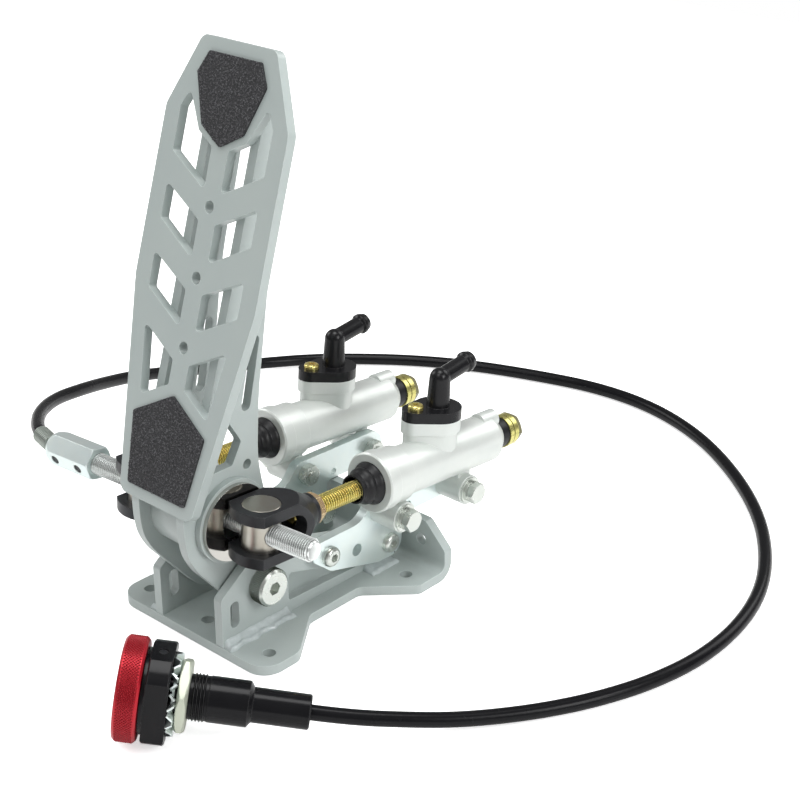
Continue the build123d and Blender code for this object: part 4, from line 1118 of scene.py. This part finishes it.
@dataclass
class DriveCable:
    """Sheathed flexible drive from the coupler round to the adjuster."""

    radius: float = 3.6
    length: float = 1027.0
    route: tuple[Point, ...] = (
        (-102.56, -7.80, 67.4), (-116.14, -4.41, 67.4), (-130.0, 2.6, 65.2), (-148.5, 17.6, 61.6),
        (-165.5, 40.0, 56.0), (-176.0, 65.5, 49.5), (-187.5, 90.0, 41.5), (-196.5, 117.0, 33.5),
        (-203.5, 147.0, 24.0), (-206.0, 184.0, 13.5), (-200.0, 222.0, 6.0), (-185.0, 252.0, 3.6),
        (-162.0, 274.5, 3.6), (-133.0, 297.5, 3.6), (-99.0, 317.0, 3.6), (-60.0, 332.0, 3.6),
        (-20.0, 343.5, 3.6), (22.0, 343.5, 3.6), (66.0, 328.5, 3.6), (107.0, 301.5, 3.6),
        (142.0, 269.5, 3.6), (167.5, 235.0, 3.6), (184.0, 202.0, 3.6), (192.5, 167.0, 3.6),
        (193.5, 133.0, 3.6), (187.5, 102.0, 3.6), (177.8, 76.5, 3.6), (166.6, 55.4, 3.6),
        (154.2, 35.9, 4.2), (141.9, 18.2, 5.6), (129.6, 2.9, 7.8), (111.03, -17.02, 10.70),
        (98.40, -28.12, 13.22))
    bend_end: Point = (-106.0, -7.0, 67.4)
    bend_start: Point = (-89.1, 33.3, 27.1)
    sleeve_ribs: int = 9
    sleeve_start: float = 1.0
    sleeve_step: float = 1.55
    sleeve_rib: Pairs = ((0.0, 4.05), (0.4, 4.6), (1.0, 4.6), (1.4, 4.05))

    def curve(self) -> bpy.types.Object:
        """NURBS curve through the route, in metres."""
        data = bpy.data.curves.new("cable_line", "CURVE")
        data.dimensions = "3D"
        data.resolution_u = 12
        spline = data.splines.new("NURBS")
        spline.points.add(len(self.route) - 1)
        for point, place in zip(spline.points, self.route):
            point.co = (*(c * MM for c in place), 1.0)
        spline.order_u = 3
        spline.use_endpoint_u = True
        return in_scene("cable_line", data)

    def build(self, shop: Workshop, fitting: list[bpy.types.Object]) -> None:
        """Args:
            shop: the workshop.
            fitting: the adjuster's added pieces; not used.
        """
        host = self.curve()
        line = [tuple(vertex.co) for vertex in evaluated(host).vertices]
        host.data.bevel_depth = self.radius * MM
        host.data.bevel_resolution = 5
        host.data.use_fill_caps = True
        tube = evaluated(host)
        discard(host)
        tube.polygons.foreach_set("use_smooth", [True] * len(tube.polygons))
        tube.materials.clear()
        tube.materials.append(shop.material(SHEATH))
        cable = in_scene("cable_sheath", tube)
        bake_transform(cable)
        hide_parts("cable")
        start, second = Vector(self.route[0]), Vector(self.route[1])
        turn = math.degrees(math.atan2(second.y - start.y, second.x - start.x))
        profile = [(self.sleeve_start + rib * self.sleeve_step + x, radius)
                   for rib in range(self.sleeve_ribs) for x, radius in self.sleeve_rib]
        place = shifted(*start) @ turned_about("Z", turn)
        sleeve = shop.piece("cable_sleeve", lathe(profile, 40).moved(place), SLEEVE, "pedal", "clear_zinc")


@dataclass
class Studio:
    """White sweep, lights and the photograph's camera."""

    camera_place: Point = (0.5436, -0.4596, 0.4589)
    camera_turn: Point = (64.52, 0.0, 42.3)
    lens: float = 77.45
    sensor: float = 36.0
    clip: Pair = (0.01, 20.0)
    fill: float = 0.27
    mirrored: float = 0.25
    floor_seen: float = 0.6
    floor_mirrored: float = 0.05
    floor_size: float = 2.6
    floor_z: float = -0.0004
    lamps: tuple[tuple[str, Point, float, float], ...] = (
        ("key", (0.3, -1.1, 1.8), 0.9, 11.0), ("left", (-1.5, -0.3, 1.0), 0.8, 8.0),
        ("right", (1.5, 0.2, 0.9), 0.8, 15.0), ("back", (0.4, 1.6, 1.2), 1.0, 9.0),
        ("top", (0.0, 0.1, 1.9), 0.9, 17.0))
    aim: Point = (0.0, 0.05, 0.08)
    cards: tuple[tuple[str, Point, float, float], ...] = (
        ("card_right", (0.9, 0.5, 0.35), 0.7, 0.5), ("card_front", (-0.5, -1.1, 0.25), 0.5, 0.6))
    card_colour: tuple[float, float, float, float] = (0.02, 0.02, 0.02, 1.0)

    def background(self) -> None:
        """White for the camera, softer for the object."""
        world = bpy.data.worlds.new("white_room")
        bpy.context.scene.world = world
        graph = emptied(world)
        seen, glossy = graph.rays("Is Camera Ray"), graph.rays("Is Glossy Ray")
        strength = seen * (1.0 - self.fill) + glossy * (self.mirrored - self.fill) + self.fill
        sky = graph.node("ShaderNodeBackground", {"Color": WHITE, "Strength": strength})
        graph.node("ShaderNodeOutputWorld", {"Surface": sky})

    def aimed(self, place: Point) -> Euler:
        """Turn that looks from a place towards the object."""
        return (Vector(self.aim) - Vector(place)).to_track_quat("-Z", "Y").to_euler()

    def lamp(self, name: str, place: Point, size: float, power: float) -> None:
        """Square area lamp aimed at the object."""
        data = bpy.data.lights.new(name, "AREA")
        data.size, data.energy = size, power
        made = in_scene(name, data)
        made.location, made.rotation_euler = place, self.aimed(place)

    def sheet(self, name: str, width: float, depth: float,
              height: float = 0.0) -> tuple[bpy.types.Object, Graph]:
        """Level rectangle for the set.

        Args:
            name: its name and its material's.
            width: its size along X.
            depth: its size along Y.
            height: its Z.

        Returns:
            The object and its material's empty node tree.
        """
        data, x, y = bpy.data.meshes.new(name), width / 2, depth / 2
        corners = [(-x, -y, height), (x, -y, height), (x, y, height), (-x, y, height)]
        data.from_pydata(corners, [], [(0, 1, 2, 3)])
        made = in_scene(name, data)
        material = bpy.data.materials.new(name)
        data.materials.append(material)
        return made, emptied(material)

    def card(self, name: str, place: Point, width: float, height: float) -> None:
        """Dark upright card that only reflections see."""
        made, graph = self.sheet(name, width, height)
        made.location, made.rotation_euler = place, self.aimed(place)
        shader = graph.node("ShaderNodeBsdfDiffuse", {"Color": self.card_colour})
        graph.node("ShaderNodeOutputMaterial", {"Surface": shader})
        made.visible_camera = False
        made.visible_shadow = False
        made.visible_diffuse = False

    def floor(self) -> None:
        """White floor that holds a faint contact shadow."""
        _, graph = self.sheet("floor", self.floor_size, self.floor_size, self.floor_z)
        glow = graph.rays("Is Camera Ray") * self.floor_seen + graph.rays("Is Glossy Ray") * self.floor_mirrored
        shader = graph.node("ShaderNodeBsdfPrincipled",
                            {"Base Color": WHITE, "Roughness": 1.0, "Specular IOR Level": 0.0,
                             "Emission Color": WHITE, "Emission Strength": glow})
        graph.node("ShaderNodeOutputMaterial", {"Surface": shader})

    def camera(self) -> None:
        """The photograph's camera."""
        data = bpy.data.cameras.new("camera")
        data.lens = self.lens
        data.sensor_width = self.sensor
        data.clip_start, data.clip_end = self.clip
        made = in_scene("camera", data)
        made.location = self.camera_place
        made.rotation_euler = Euler([math.radians(a) for a in self.camera_turn])
        bpy.context.scene.camera = made

    def build(self) -> None:
        """Set up background, floor, lamps, cards and camera."""
        self.background()
        self.floor()
        for lamp in self.lamps:
            self.lamp(*lamp)
        for card in self.cards:
            self.card(*card)
        self.camera()
        bpy.context.scene.view_settings.view_transform = "Standard"


def main() -> None:
    """Dress the frame and light it."""
    logging.basicConfig(level=logging.INFO, format="%(name)s: %(message)s")
    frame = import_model()
    shop = Workshop(frame)
    PedalBox().build(shop)
    Pedal().build(shop)
    bar = BalanceBar()
    bar.build(shop)
    for side in SIDES:
        PushRod(side, bar).build(shop)
        MasterCylinder(side).build(shop)
    shop.dress(YELLOW_ZINC, "adaptor_screws")
    shop.dress(GREEN_ZINC, "outlet_unions")
    shop.dress(RUBBER, "adaptor_seals", "outlet_seals")
    shop.dress(CAP, "outlet_caps")
    shop.dress(STAINLESS, "retaining_rings")
    DriveCable().build(shop, RemoteAdjuster().build(shop))
    Studio().build()


if __name__ == "__main__":
    main()
